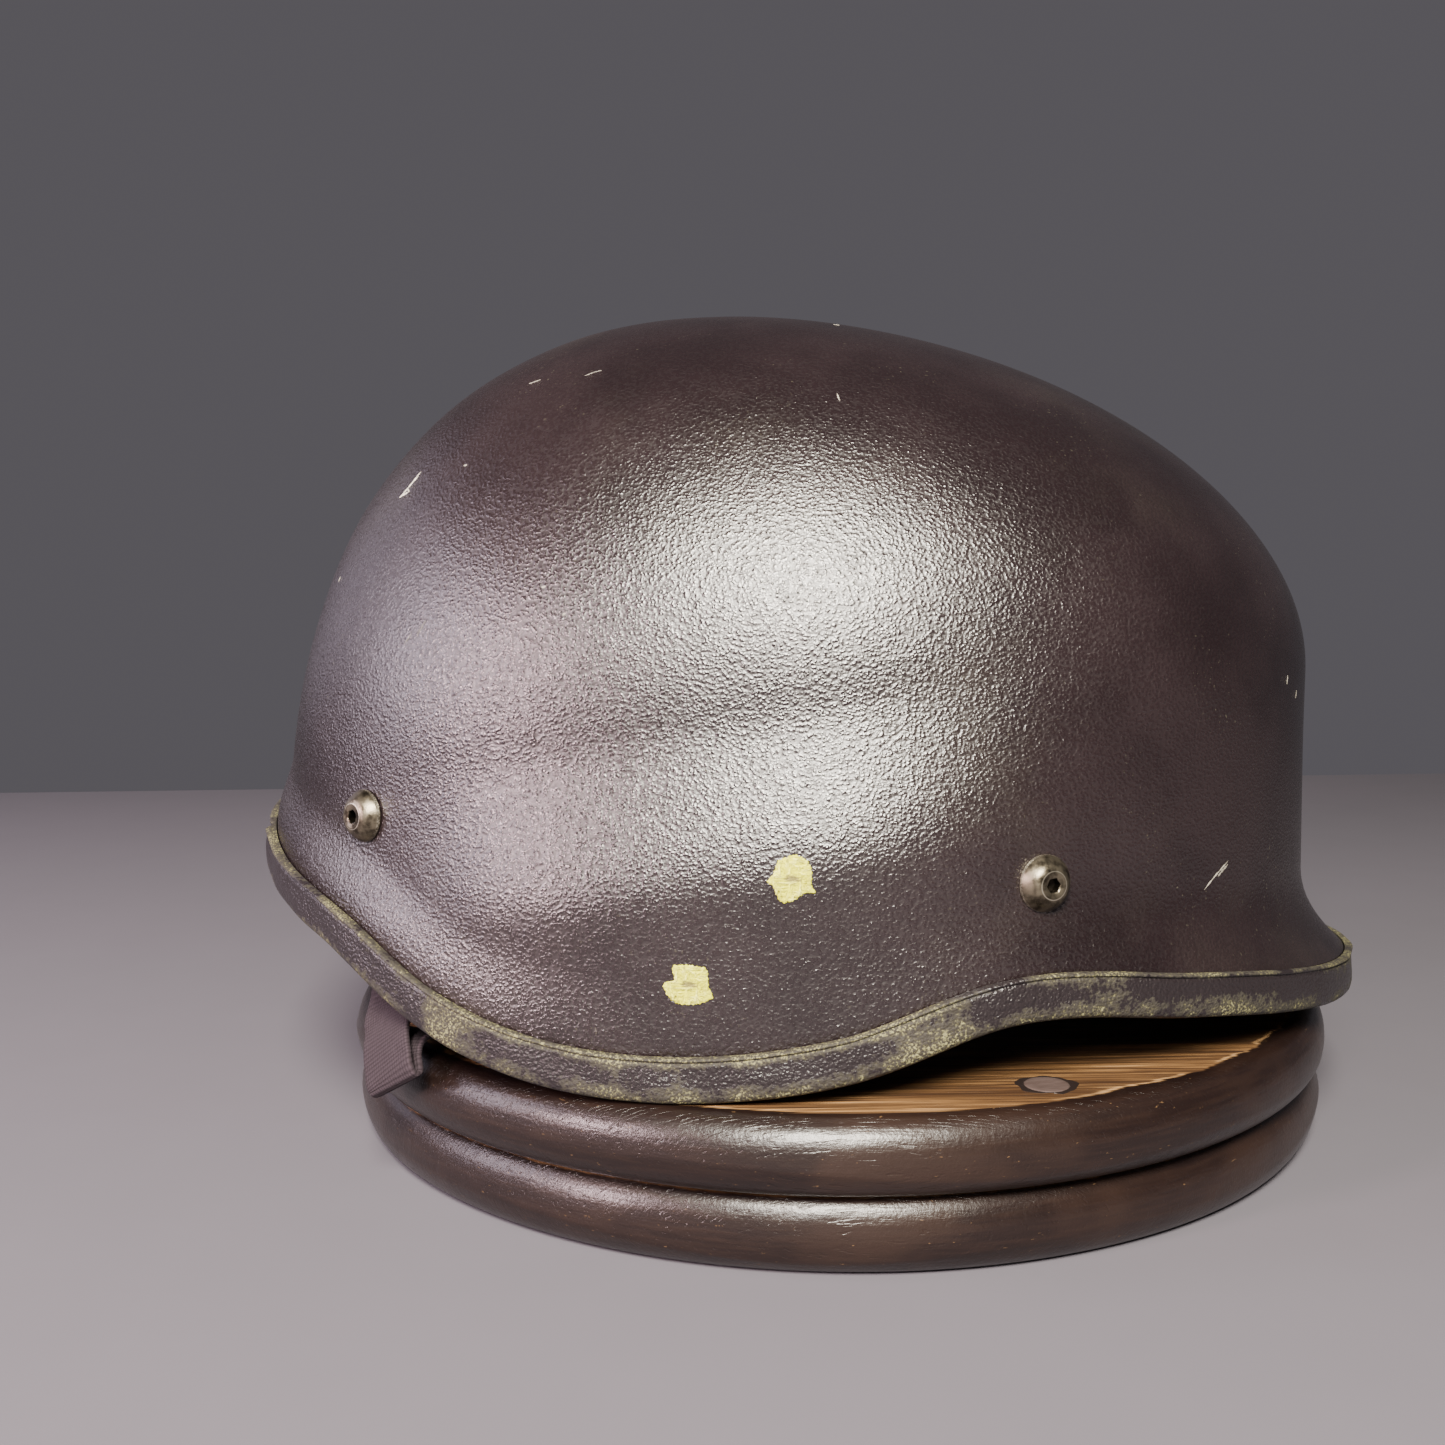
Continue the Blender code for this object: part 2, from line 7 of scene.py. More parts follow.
import math
import bpy
import numpy as np
from bpy.props import FloatProperty, FloatVectorProperty, IntProperty, PointerProperty
from mathutils import Matrix, Vector


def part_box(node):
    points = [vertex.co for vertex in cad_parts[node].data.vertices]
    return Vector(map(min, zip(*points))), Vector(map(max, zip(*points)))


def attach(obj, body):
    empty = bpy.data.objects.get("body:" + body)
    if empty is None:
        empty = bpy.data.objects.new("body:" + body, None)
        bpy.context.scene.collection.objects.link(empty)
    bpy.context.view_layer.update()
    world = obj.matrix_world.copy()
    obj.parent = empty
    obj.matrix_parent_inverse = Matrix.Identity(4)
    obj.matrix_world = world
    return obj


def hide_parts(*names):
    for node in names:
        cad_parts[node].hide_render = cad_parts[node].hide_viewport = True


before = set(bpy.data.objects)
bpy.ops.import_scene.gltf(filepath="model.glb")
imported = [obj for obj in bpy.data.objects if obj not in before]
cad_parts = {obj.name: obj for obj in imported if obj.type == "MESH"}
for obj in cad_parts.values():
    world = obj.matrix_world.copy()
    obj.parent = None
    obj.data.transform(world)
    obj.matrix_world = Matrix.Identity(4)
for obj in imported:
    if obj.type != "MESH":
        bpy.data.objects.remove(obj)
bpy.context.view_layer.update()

bl_info = {
    "name": "Ballistic helmet on a stand",
    "version": (1, 0, 0),
    "blender": (4, 5, 0),
    "location": "3D View > Sidebar > Helmet",
    "description": "Builds a ballistic helmet, its trim, bolts and strap, and a wooden stand",
    "category": "Add Mesh",
}

BOARD_TOP = float(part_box("stand_upper_board")[1][2])
UPPER_BASE = float(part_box("stand_upper_board")[0][2])
LOWER_TOP = float(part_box("stand_lower_board")[1][2])
HELMET_TOP = float(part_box("helmet_shell")[1][2])

# Height of the rim over the rest plane, as a share of the lift at the brim
RIM_TABLE = (
    # azimuth, share of the brim's lift
    (0.0, 1.0), (15.0, 0.914), (30.0, 0.748), (45.0, 0.552), (58.0, 0.272), (70.0, 0.1), (85.0, 0.04),
    (100.0, 0.135), (115.0, 0.376), (135.0, 0.303), (155.0, 0.162), (180.0, 0.048),
)

# Section of the rubber channel, from the top of its outer leg round the rim to the top of its inner leg
TRIM_SECTION = {
    # height on the wall over the trim's, face over the trim's wall, drop below the rim over the same
    "outer": (
        (1.0, 0.0, 0.0), (1.012, 0.3, 0.0), (1.01, 0.62, 0.0), (0.992, 0.88, 0.0), (0.962, 1.0, 0.0),
        (0.928, 1.0, 0.0), (0.902, 0.86, 0.0), (0.88, 0.74, 0.0), (0.855, 0.76, 0.0), (0.82, 0.86, 0.0),
        (0.77, 0.9, 0.0), (0.7, 0.88, 0.0), (0.56, 0.94, 0.0), (0.4, 0.98, 0.0), (0.24, 1.0, 0.0),
        (0.1, 1.0, 0.0), (0.0, 0.98, 0.12), (0.0, 0.9, 0.46), (0.0, 0.7, 0.76), (0.0, 0.38, 0.95),
        (0.0, 0.0, 1.0),
    ),
    "inner": (
        (0.0, 0.0, 1.0), (0.0, 0.38, 0.93), (0.0, 0.72, 0.7), (0.0, 0.93, 0.36), (0.04, 1.0, 0.0),
        (0.4, 1.0, 0.0), (0.74, 0.98, 0.0), (0.8, 0.8, 0.0), (0.82, 0.4, 0.0), (0.82, 0.0, 0.0),
    ),
}

# Stretches of the trim where more or less residue lies
RESIDUE_ZONES = (
    # from and to azimuth in degrees, from and to share of the height, change of cover
    (18.0, 50.0, 0.14, 0.90, -0.17),
    (56.0, 64.0, 0.05, 0.80, 0.10),
    (64.0, 84.0, 0.30, 0.72, -0.07),
    (60.0, 112.0, 0.78, 1.00, 0.10),
    (86.0, 103.0, 0.34, 0.70, -0.16),
    (103.0, 112.0, 0.00, 0.90, 0.12),
    (112.0, 122.0, 0.30, 0.80, -0.06),
    (119.0, 126.0, 0.60, 0.95, 0.10),
    (124.0, 152.0, 0.55, 0.90, -0.18),
    (122.0, 150.0, 0.00, 0.45, 0.04),
    (156.0, 176.0, 0.60, 1.00, 0.08),
)

BOLT_TABLE = (
    # node, azimuth, share of the crown's height, whether the chin strap is clamped under it, turn of its socket
    ("bolt_front_near", 46.4, 0.305, True, 12.0),
    ("bolt_rear_near", 119.4, 0.243, False, 24.0),
    ("bolt_front_far", -46.4, 0.305, True, 40.0),
    ("bolt_rear_far", -119.4, 0.243, False, 40.0),
)

# Outlines of the two places where the paint has come off, as reach at each direction
BARE_OUTLINES = {
    # direction in degrees from the rear round over the top, reach over the patch's radius
    "bare_patch_upper": (
        (0, 0.8), (22, 0.86), (45, 0.96), (65, 0.97), (85, 0.98), (105, 0.9), (125, 0.92), (150, 0.8),
        (172, 0.84), (186, 1.02), (198, 0.86), (225, 0.92), (245, 1.05), (268, 0.92), (296, 0.78),
        (318, 0.84), (329, 1.08), (340, 0.86),
    ),
    "bare_patch_lower": (
        (0, 0.86), (22, 0.9), (44, 1.04), (62, 0.9), (88, 0.86), (112, 0.92), (132, 1.04), (152, 0.72),
        (168, 0.72), (178, 1.08), (195, 1.08), (218, 1.04), (244, 0.96), (268, 0.88), (296, 0.94),
        (316, 1.04), (334, 1.16), (348, 0.92),
    ),
}

# Where the two places are
BARE_PLACES = {
    # azimuth, share of the crown's height, radius
    "bare_patch_upper": (95.2, 0.2600, 0.0047),
    "bare_patch_lower": (85.4, 0.1370, 0.0045),
}

# Rows of a bare patch, from under its edge to near its middle
PATCH_ROWS = np.array(
    [
        # share of the patch's reach, lift over the skin
        (0.99, -0.00030), (1.0, 0.00002), (0.985, 0.00016), (0.95, 0.00024), (0.90, 0.00028), (0.82, 0.00030),
        (0.72, 0.00030), (0.60, 0.00030), (0.46, 0.00028), (0.32, 0.00026), (0.18, 0.00024), (0.08, 0.00022),
    ]
)

# Small scratches in the paint
NICK_TABLE = (
    # azimuth, share of the crown's height, length, width, slope in degrees, strength
    (41.9, 0.733, 0.0068, 0.00055, 54.0, 1.0), (42.4, 0.742, 0.005, 0.00045, 66.0, 0.9),
    (41.5, 0.722, 0.0036, 0.0006, 20.0, 0.95), (42.2, 0.728, 0.0024, 0.0004, -28.0, 0.8),
    (57.2, 0.872, 0.0024, 0.0003, 24.0, 0.45), (56.2, 0.87, 0.0012, 0.00025, 10.0, 0.4),
    (68.8, 0.876, 0.003, 0.0003, 32.0, 0.35), (70.2, 0.879, 0.0016, 0.00025, 20.0, 0.35),
    (129.2, 0.959, 0.0016, 0.00045, -60.0, 0.75), (108.5, 0.825, 0.0026, 0.0003, 84.0, 0.5),
    (53.0, 0.755, 0.0011, 0.00045, 12.0, 0.45), (30.5, 0.611, 0.0013, 0.00045, 70.0, 0.7),
    (69.2, 0.594, 0.001, 0.0004, 0.0, 0.5), (71.8, 0.561, 0.0009, 0.0004, 30.0, 0.45),
    (140.6, 0.2245, 0.0098, 0.00038, 33.0, 0.42), (141.6, 0.229, 0.0042, 0.0005, 34.0, 0.34),
    (154.0, 0.46, 0.0022, 0.0006, 78.0, 0.55), (157.3, 0.438, 0.002, 0.00055, 64.0, 0.5),
    (53.4, 0.545, 0.004, 0.00028, 58.0, 0.22), (51.6, 0.532, 0.003, 0.00025, 50.0, 0.2),
    (-44.0, 0.64, 0.0042, 0.0004, 40.0, 0.45), (-96.0, 0.52, 0.0058, 0.00034, -24.0, 0.35),
    (-132.0, 0.7, 0.0026, 0.0004, 62.0, 0.45), (176.0, 0.55, 0.0036, 0.00036, 15.0, 0.4),
)

# Route of the chin strap
WALL_TABLE = (
    # up from the bolt over the tab's length, inward slack over the strap's thickness
    (1.0, 0.0),
    (0.0, 0.0),
    (-1.3, 0.7),
    (-2.6, 1.1),
)

DOWN_TABLE = (
    # out from the board's edge over the thickness, along and up over the width, tilt
    (-5.60, -0.27, 0.88, 2.0),
    (-4.10, -0.21, 0.61, 12.0),
    (-1.20, -0.03, 0.39, 22.0),
    (1.10, 0.12, 0.15, 28.0),
    (2.15, 0.25, -0.04, 28.0),
)

# Middle of the strap's bend, in the first three columns of DOWN_TABLE
BEND_PLACE = (2.05, 0.39, -0.24)

UP_TABLE = (
    # the same columns, from the bend back over the board's edge
    (0.75, 0.30, -0.09, 26.0),
    (0.15, 0.25, 0.04, 20.0),
    (-1.00, 0.22, 0.155, 13.0),
    (-3.00, 0.21, 0.20, 7.0),
    (-5.60, 0.21, 0.15, 3.0),
    (-8.60, 0.22, 0.05, 0.0),
    (-12.00, 0.22, 0.0, 0.0),
    (-16.00, 0.22, 0.0, 0.0),
)

BOARD_TABLE = (
    # to the right and away over the board's radius, up over the brim's lift, heading
    (-0.460, -0.360, 0.000, 46.0),
    (-0.180, -0.080, 0.000, 48.0),
    (0.020, 0.160, 0.000, 68.0),
    (0.050, 0.380, 0.000, 100.0),
    (-0.080, 0.550, 0.000, 148.0),
    (-0.280, 0.610, 0.000, 168.0),
    (-0.460, 0.630, 0.010, 160.0),
    (-0.540, 0.660, 0.025, 150.0),
    (-0.610, 0.690, 0.100, 142.0),
    (-0.655, 0.715, 0.280, 134.0),
)

# Turned section of the plug and of the dark ring round it, which carries painted shade of the plug's recess
PLUG_TABLE = np.array(
    [
        # radius over the plug's, share of the dark ring's outline added to it, height over the board, V
        (0.50, 0.0, -0.00100, 1.00),
        (1.15, 0.0, -0.00100, 1.00),
        (0.00, 1.0, -0.00020, 1.00),
        (0.00, 1.0, 0.00004, 0.98),
        (0.77, 0.3, 0.00010, 0.85),
        (1.04, 0.0, 0.00010, 0.78),
        (1.00, 0.0, 0.00004, 0.73),
        (0.97, 0.0, 0.00016, 0.68),
        (0.90, 0.0, 0.00022, 0.62),
        (0.60, 0.0, 0.00016, 0.42),
        (0.25, 0.0, 0.00012, 0.18),
    ]
)

# Lamps of the stage, and the point that they face
LIGHT_TABLE = (
    # name, azimuth from the camera's side with left negative, elevation, distance, width, height, power, colour
    ("key", -3.5, 38.5, 0.95, 0.28, 0.28, 44.0, (1.0, 0.93, 0.80)),
    ("window", -13.0, 28.5, 0.95, 0.22, 0.20, 7.5, (1.0, 0.92, 0.86)),
    ("left", -57.0, 13.5, 0.95, 0.15, 0.14, 11.0, (1.0, 0.72, 0.75)),
    ("side", -86.0, 16.0, 1.10, 0.30, 0.50, 6.5, (0.98, 0.82, 0.96)),
    ("rim", -124.0, 18.0, 1.10, 0.45, 0.60, 1.0, (0.95, 0.82, 1.0)),
)
LIGHTS_AIM = (0.0, -0.09, 0.11)

# Half the floor's width, and how far it lies under the boards
FLOOR_REACH = 2.5
FLOOR_DROP = 0.0002


def length(name, default, description):
    return FloatProperty(
        name=name, default=default, description=description, unit="LENGTH", subtype="DISTANCE", precision=5
    )


def angle(name, degrees, description):
    return FloatProperty(
        name=name, default=math.radians(degrees), description=description, unit="ROTATION", subtype="ANGLE"
    )


def number(name, default, description):
    return FloatProperty(name=name, default=default, description=description, precision=4)


def count(name, default, description):
    return IntProperty(name=name, default=default, description=description, min=3)


def colour(name, default, description):
    return FloatVectorProperty(
        name=name, default=default, description=description, subtype="COLOR", size=3, min=0.0, max=1.0
    )


class HelmetSizes(bpy.types.PropertyGroup):
    """Sizes of the helmet shell."""

    front_reach: length("Front reach", 0.1248, "From the helmet's middle to its brow")
    back_reach: length("Back reach", 0.1339, "From the helmet's middle to its back")
    half_width: length("Half width", 0.1101, "From the helmet's middle to each side")
    plan_power: number("Plan power", 2.23, "Power of the superellipse in plan")
    crown_height: length("Crown height", 0.1685, "Height of the crown over the rest plane")
    crown_forward: length("Crown forward", 0.0144, "How far the crown leans to the front")
    brow_front: length("Brow at front", 0.0388, "Height where the dome begins at the front")
    brow_back: length("Brow at back", 0.0786, "Height where the dome begins at the back")
    power_front: number("Front dome power", 2.03, "Power of the dome's section at the front")
    power_back: number("Back dome power", 1.94, "Power of the dome's section at the back")
    power_side: number("Side dome power", 2.26, "Power of the dome's section at the sides")
    wall: length("Wall", 0.008, "Thickness of the laminate")
    brim_flare: length("Brim flare", 0.0030, "How far the wall flares at the brim")
    nape_flare: length("Nape flare", 0.0104, "How far the wall flares at the nape")
    corner_flare: length("Corner flare", 0.0018, "How far the wall flares between the brim and the ears")
    rear_corner: length("Rear corner flare", 0.0010, "How far the wall flares between the ears and the nape")
    brim_flare_height: length("Brim flare height", 0.0160, "Height of the flare at the brim")
    nape_flare_height: length("Nape flare height", 0.0190, "Height of the flare at the nape")
    flare_power: number("Flare power", 1.5, "How fast the brim's flare fades towards the sides")
    nape_power: number("Nape power", 2.4, "How fast the nape's flare fades towards the sides")
    nape_begins: number("Nape begins", 0.1, "Share of the way back where the nape's flare begins")
    nape_blend: number("Nape blend", 0.7, "Share of the way over which it takes over")
    ear_bulge: length("Ear bulge", 0.0077, "How far the wall bulges over each ear")
    ear_bulge_top: length("Ear bulge top", 0.0163, "How far over the brow the bulge begins")
    ear_bulge_height: length("Ear bulge height", 0.036, "Height over which the bulge grows")
    ear_azimuth: number("Ear azimuth", 88.0, "Azimuth of the middle of the bulge, in degrees")
    ear_spread: number("Ear spread", 34.0, "Half the spread of the bulge, in degrees")
    ear_power: number("Ear power", 4.0, "How sharply the bulge ends")
    brim_lift: length("Brim lift", 0.0418, "Height of the rim at the brim")
    trim_height: length("Trim height", 0.0072, "Height of the trim over the rim")
    yaw: angle("Yaw", 5.4, "Turn of the helmet on the stand")
    shift_right: length("Shift right", -0.0147, "Place of the helmet from the lower board's middle")
    shift_away: length("Shift away", 0.0009, "Place of the helmet from the lower board's middle")
    ripple: length("Ripple", 0.00010, "Depth of the slow unevenness of the moulding")
    columns: count("Columns", 336, "Columns of the shell's mesh")
    dome_rows: count("Dome rows", 96, "Rows of the dome")
    flare_rows: count("Flare rows", 14, "Rows of the flare")
    inner_flare_rows: count("Inner flare rows", 5, "Rows of the flare on the inner face")
    inner_rows: count("Inner rows", 40, "Rows of the inner face")


class TrimSizes(bpy.types.PropertyGroup):
    """Sizes of the rubber edge trim."""

    gap: length("Gap", 0.0003, "Clearance between the trim and the shell")
    wall: length("Wall", 0.0017, "Thickness of the rubber")
    wobble: length("Wobble", 0.00012, "Unevenness of the outer face")
    joint: angle("Joint azimuth", 21.0, "Where the trim's two ends meet")
    joint_width: angle("Joint width", 0.55, "Half the width of the notch at the joint")
    joint_step: length("Joint step", 0.0011, "How far one end stands proud of the other")
    joint_fade: number("Joint fade", 0.20, "Radians over which the step at the joint fades")
    joint_notch: number("Joint notch", 0.55, "Share of the wall that the notch at the joint takes")
    columns: count("Columns", 540, "Columns of the trim's mesh")


class BoltSizes(bpy.types.PropertyGroup):
    """Sizes of the button head bolts."""

    head_radius: length("Head radius", 0.0057, "Radius of the head")
    flat_radius: length("Flat radius", 0.0028, "Radius of the ring on top of the head")
    head_height: length("Head height", 0.0036, "Height of the head over the shell")
    socket_flats: length("Socket across flats", 0.0027, "Width of the hex socket")
    socket_depth: length("Socket depth", 0.0020, "Depth of the hex socket")
    shank_radius: length("Shank radius", 0.0024, "Radius of the shank")
    nut_radius: length("Nut radius", 0.0060, "Radius of the inner nut")
    nut_thickness: length("Nut thickness", 0.0025, "Thickness of the inner nut")
    columns: count("Columns", 96, "Columns of a bolt's mesh")


class StrapSizes(bpy.types.PropertyGroup):
    """Sizes of the chin strap."""

    width: length("Width", 0.0180, "Width of the webbing")
    thickness: length("Thickness", 0.0014, "Thickness of the webbing")
    tab: length("Tab", 0.0105, "Length of the strap over each bolt")
    wall_gap: length("Wall gap", 0.0010, "Room between the strap and the shell")
    fold_gap: length("Fold gap", 0.0006, "Room inside the fold")
    fold_heading: angle("Fold heading", 228.8, "Direction in which the fold faces")
    fold_along: length("Fold along", -0.0253, "Place of the fold along the board's edge")
    fold_tilt: angle("Fold tilt", 28.0, "Tilt of the fold")
    far_heading: angle("Far heading", 121.2, "Direction of the strap at the far wall")
    rib_pitch: length("Rib pitch", 0.00085, "Distance between the ribs of the weave")
    rib_height: length("Rib height", 0.00005, "Height of the ribs")
    yarn_pitch: length("Yarn pitch", 0.0009, "Distance between the fine yarns along the strap")
    step: length("Step", 0.00017, "Distance between rows of the mesh")


class StandSizes(bpy.types.PropertyGroup):
    """Sizes of the stand."""

    board_radius: length("Board radius", 0.1250, "Radius of both boards")
    board_edge: length("Board edge", 0.0060, "Depth of the rounded edge")
    upper_away: length("Upper board away", -0.0039, "Place of the upper board's middle")
    carving: length("Carving", 0.00055, "Depth of the two bevels cut into the rounded edge")
    stain_width: length("Stain width", 0.0078, "From the boards' edge to the open wood")
    unevenness: length("Unevenness", 0.00014, "Unevenness of the boards' outline")
    plug_radius: length("Plug radius", 0.0045, "Radius of the plug")
    plug_right: length("Plug right", 0.0360, "Place of the plug on the upper board")
    plug_away: length("Plug away", -0.1030, "Place of the plug on the upper board")
    clearance: length("Clearance", 0.0003, "Room between the strap and the upper board")
    columns: count("Columns", 420, "Columns of a board's mesh")


class Finishes(bpy.types.PropertyGroup):
    """Colours of the finishes."""

    paint_dark: colour("Paint, dark", (0.0058, 0.0028, 0.0033), "Textured paint")
    # Paler paint, also laid on the grain's tops so that its crevices carry painted shade
    paint_light: colour("Paint, light", (0.0118, 0.0070, 0.0078), "Textured paint where it is worn")
    paint_dust: colour("Paint, dust", (0.085, 0.080, 0.055), "Dust on the paint")
    aramid: colour("Aramid", (0.72, 0.73, 0.025), "Bare fibre where the paint is off")
    aramid_pale: colour("Aramid, pale", (0.95, 0.96, 0.20), "Frayed fibre")
    # Painted shade in the pits between the fibres
    aramid_pit_shade: colour("Aramid, pits", (0.20, 0.18, 0.035), "Pits between the fibres")
    aramid_mark: colour("Aramid, mark", (0.16, 0.13, 0.07), "Dark mark on the bare fibre")
    nick: colour("Nick", (0.70, 0.66, 0.56), "Scratches in the paint")
    nick_dull: colour("Nick, dull", (0.42, 0.40, 0.33), "Duller tone of the scratches")
    rubber: colour("Rubber", (0.0085, 0.0058, 0.0066), "Black rubber")
    rubber_grey: colour("Rubber, grey", (0.022, 0.018, 0.020), "Tops of the rubber's grain")
    residue: colour("Residue", (0.030, 0.026, 0.0135), "Pale residue on the rubber")
    residue_pale: colour("Residue, pale", (0.180, 0.170, 0.075), "Thick residue in small crumbs")
    residue_dark: colour("Residue, dark", (0.019, 0.016, 0.0115), "Thin residue on the rubber")
    steel: colour("Steel", (0.170, 0.148, 0.108), "Worn plating of the bolts")
    # Worn bright plating at the head's foot, and a painted highlight round the ring on top
    steel_bright: colour("Steel, bright", (0.50, 0.465, 0.375), "Bright edges of the bolts")
    steel_dark: colour("Steel, dark", (0.045, 0.037, 0.026), "Tarnish on the bolts")
    # Painted shade for the inside of the bolts' sockets
    socket: colour("Socket", (0.020, 0.016, 0.012), "Inside of the bolts' sockets")
    webbing: colour("Webbing", (0.0165, 0.0105, 0.0140), "Black webbing")
    webbing_light: colour("Webbing, light", (0.0370, 0.0265, 0.0330), "Tops of the webbing's ribs")
    stain: colour("Stain", (0.0072, 0.0036, 0.0030), "Dark stain on the boards' edges")
    stain_light: colour("Stain, light", (0.0185, 0.0100, 0.0070), "Thin stain")
    wood: colour("Wood", (0.172, 0.090, 0.033), "Open wood on top")
    wood_dark: colour("Wood, dark", (0.028, 0.0125, 0.0050), "Grain of the open wood")
    wood_tan: colour("Wood, tan", (0.42, 0.250, 0.110), "Rubbed bare wood")
    plug: colour("Plug", (0.072, 0.052, 0.047), "Plug in the upper board")
    plug_grain: colour("Plug, grain", (0.055, 0.038, 0.034), "Grain of the plug")
    # Painted shade of the recess round the plug, laid on a thin dark ring
    recess_shade: colour("Glue", (0.012, 0.008, 0.007), "Ring of glue round the plug")
    floor: colour("Floor", (0.108, 0.101, 0.120), "Pale floor")
    world: colour("World", (0.82, 0.77, 0.86), "Light all round")


class StageSettings(bpy.types.PropertyGroup):
    """Camera and lights."""

    lens: number("Lens", 36.05, "Focal length in millimetres, for a sensor 36 mm wide")
    pitch: angle("Pitch", 4.98, "How far the camera looks down")
    roll: angle("Roll", -0.77, "Roll of the camera")
    distance: length("Distance", 0.3870, "From the camera to its aim")
    aim_right: length("Aim right", -0.0280, "Point that the camera looks at")
    aim_up: length("Aim up", 0.0970, "Point that the camera looks at")
    floor_behind: length("Floor behind", 0.62, "From the lower board's middle to the floor's far edge")
    light: number("Light", 1.0, "Strength of all lamps together")
    world: number("World", 0.125, "Strength of the light all round")


def settings(name):
    return getattr(bpy.context.scene, name)


# Curves and meshes


def smooth_step(share):
    """0 below 0, 1 above 1, and level at both ends."""
    share = np.clip(share, 0.0, 1.0)
    return share * share * (3.0 - 2.0 * share)


def unit(vectors):
    return vectors / np.linalg.norm(vectors, axis=-1, keepdims=True)


def curve_through(positions, values, at):
    """Cubic Hermite curve through the table's values. Each row's slope comes from its neighbours."""
    positions = np.asarray(positions, float)
    values = np.asarray(values, float)
    slopes = np.gradient(values, positions, axis=0)
    row = np.clip(np.searchsorted(positions, at, side="right") - 1, 0, len(positions) - 2)
    span = positions[row + 1] - positions[row]
    u = (at - positions[row]) / span
    if values.ndim > 1:
        u = u[:, None]
        span = span[:, None]
    start = (2 * u**3 - 3 * u**2 + 1) * values[row] + (u**3 - 2 * u**2 + u) * span * slopes[row]
    end = (3 * u**2 - 2 * u**3) * values[row + 1] + (u**3 - u**2) * span * slopes[row + 1]
    return start + end


def steps_round(columns):
    """Angles of the columns of a closed grid."""
    return np.arange(columns) * 2 * math.pi / columns


def lay_grid(name, points, across=None, along=None, wrap=False, wrap_rows=False, start=None, end=None):
    """Mesh of a grid of points, with points[row, column] and a UV map.

    across gives U at each column and along gives V at each row, with one value more where the grid wraps, and
    even shares of 1 where they aren't given. start and end close the first and the last row with a point.
    Faces turn to (step along a row) x (step to the next row).
    """
    rows, columns = points.shape[:2]
    row_spans = rows - 1 + wrap_rows
    spans = columns - 1 + wrap
    u = np.linspace(0.0, 1.0, spans + 1) if across is None else np.asarray(across, float)
    v = np.linspace(0.0, 1.0, row_spans + 1) if along is None else np.asarray(along, float)
    row, column = (index.ravel() for index in np.indices((row_spans, spans)))
    corners = ((row, column), (row, column + 1), (row + 1, column + 1), (row + 1, column))
    faces = np.stack([y % rows * columns + x % columns for y, x in corners], -1).tolist()
    uvs = [np.stack([np.stack([u[x], v[y]], -1) for y, x in corners], 1).reshape(-1, 2)]
    flat = points.reshape(-1, 3)
    column = np.arange(spans)
    for pole, row, order in ((start, 0, -1), (end, rows - 1, 1)):
        if pole is None:
            continue
        first, second = (column, column + 1)[::order]
        ring = [row * columns + x % columns for x in (first, second)]
        faces += np.stack([*ring, np.full(spans, len(flat))], -1).tolist()
        fan_u = np.stack([u[first], u[second], (u[first] + u[second]) / 2], -1)
        uvs.append(np.stack([fan_u, np.full_like(fan_u, v[row])], -1).reshape(-1, 2))
        flat = np.concatenate([flat, np.asarray(pole, float)[None, :]])
    return mesh_of(name, flat, faces, np.concatenate(uvs))


def mesh_of(name, places, faces, uvs):
    mesh = bpy.data.meshes.new(name)
    mesh.from_pydata(places.tolist(), [], faces)
    mesh.uv_layers.new(name="UVMap").data.foreach_set("uv", uvs.ravel())
    return mesh


def join_meshes(name, meshes):
    """One mesh of several, with their UV maps."""
    places, faces, uvs, first = [], [], [], 0
    for mesh in meshes:
        co = np.empty(len(mesh.vertices) * 3)
        mesh.vertices.foreach_get("co", co)
        uv = np.empty(len(mesh.loops) * 2)
        mesh.uv_layers[0].data.foreach_get("uv", uv)
        faces += [[first + corner for corner in face.vertices] for face in mesh.polygons]
        first += len(mesh.vertices)
        places.append(co.reshape(-1, 3))
        uvs.append(uv)
    return mesh_of(name, np.concatenate(places), faces, np.concatenate(uvs))


def add_piece(mesh, finish, nodes=(), sharp=40.0):
    """Object of a finished mesh that rides on the one body."""
    piece = bpy.data.objects.new(mesh.name, mesh)
    bpy.context.scene.collection.objects.link(piece)
    mesh.materials.append(finish)
    mesh.shade_smooth()
    mesh.set_sharp_from_angle(angle=math.radians(sharp))
    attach(piece, "root")
    if nodes:
        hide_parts(*nodes)
    return piece


# The helmet's outer face


def rim_height(sizes, azimuth):
    """Height of the shell's lower edge, the same on both sides."""
    angles = [-row[0] for row in RIM_TABLE[:0:-1]] + [row[0] for row in RIM_TABLE]
    heights = [row[1] * sizes.brim_lift for row in RIM_TABLE[:0:-1] + RIM_TABLE]
    degrees = (np.degrees(azimuth) + 180.0) % 360.0 - 180.0
    shape = degrees.shape
    return curve_through(angles, heights, degrees.ravel()).reshape(shape)


def rim_steepness(sizes, azimuth):
    """How much longer a length square to the rim becomes when it is measured upright."""
    step = 1e-3
    rise = rim_height(sizes, azimuth + step) - rim_height(sizes, azimuth - step)
    run = 2 * step * (sizes.front_reach + sizes.back_reach + 2 * sizes.half_width) / 4
    return np.sqrt(1.0 + (rise / run) ** 2)


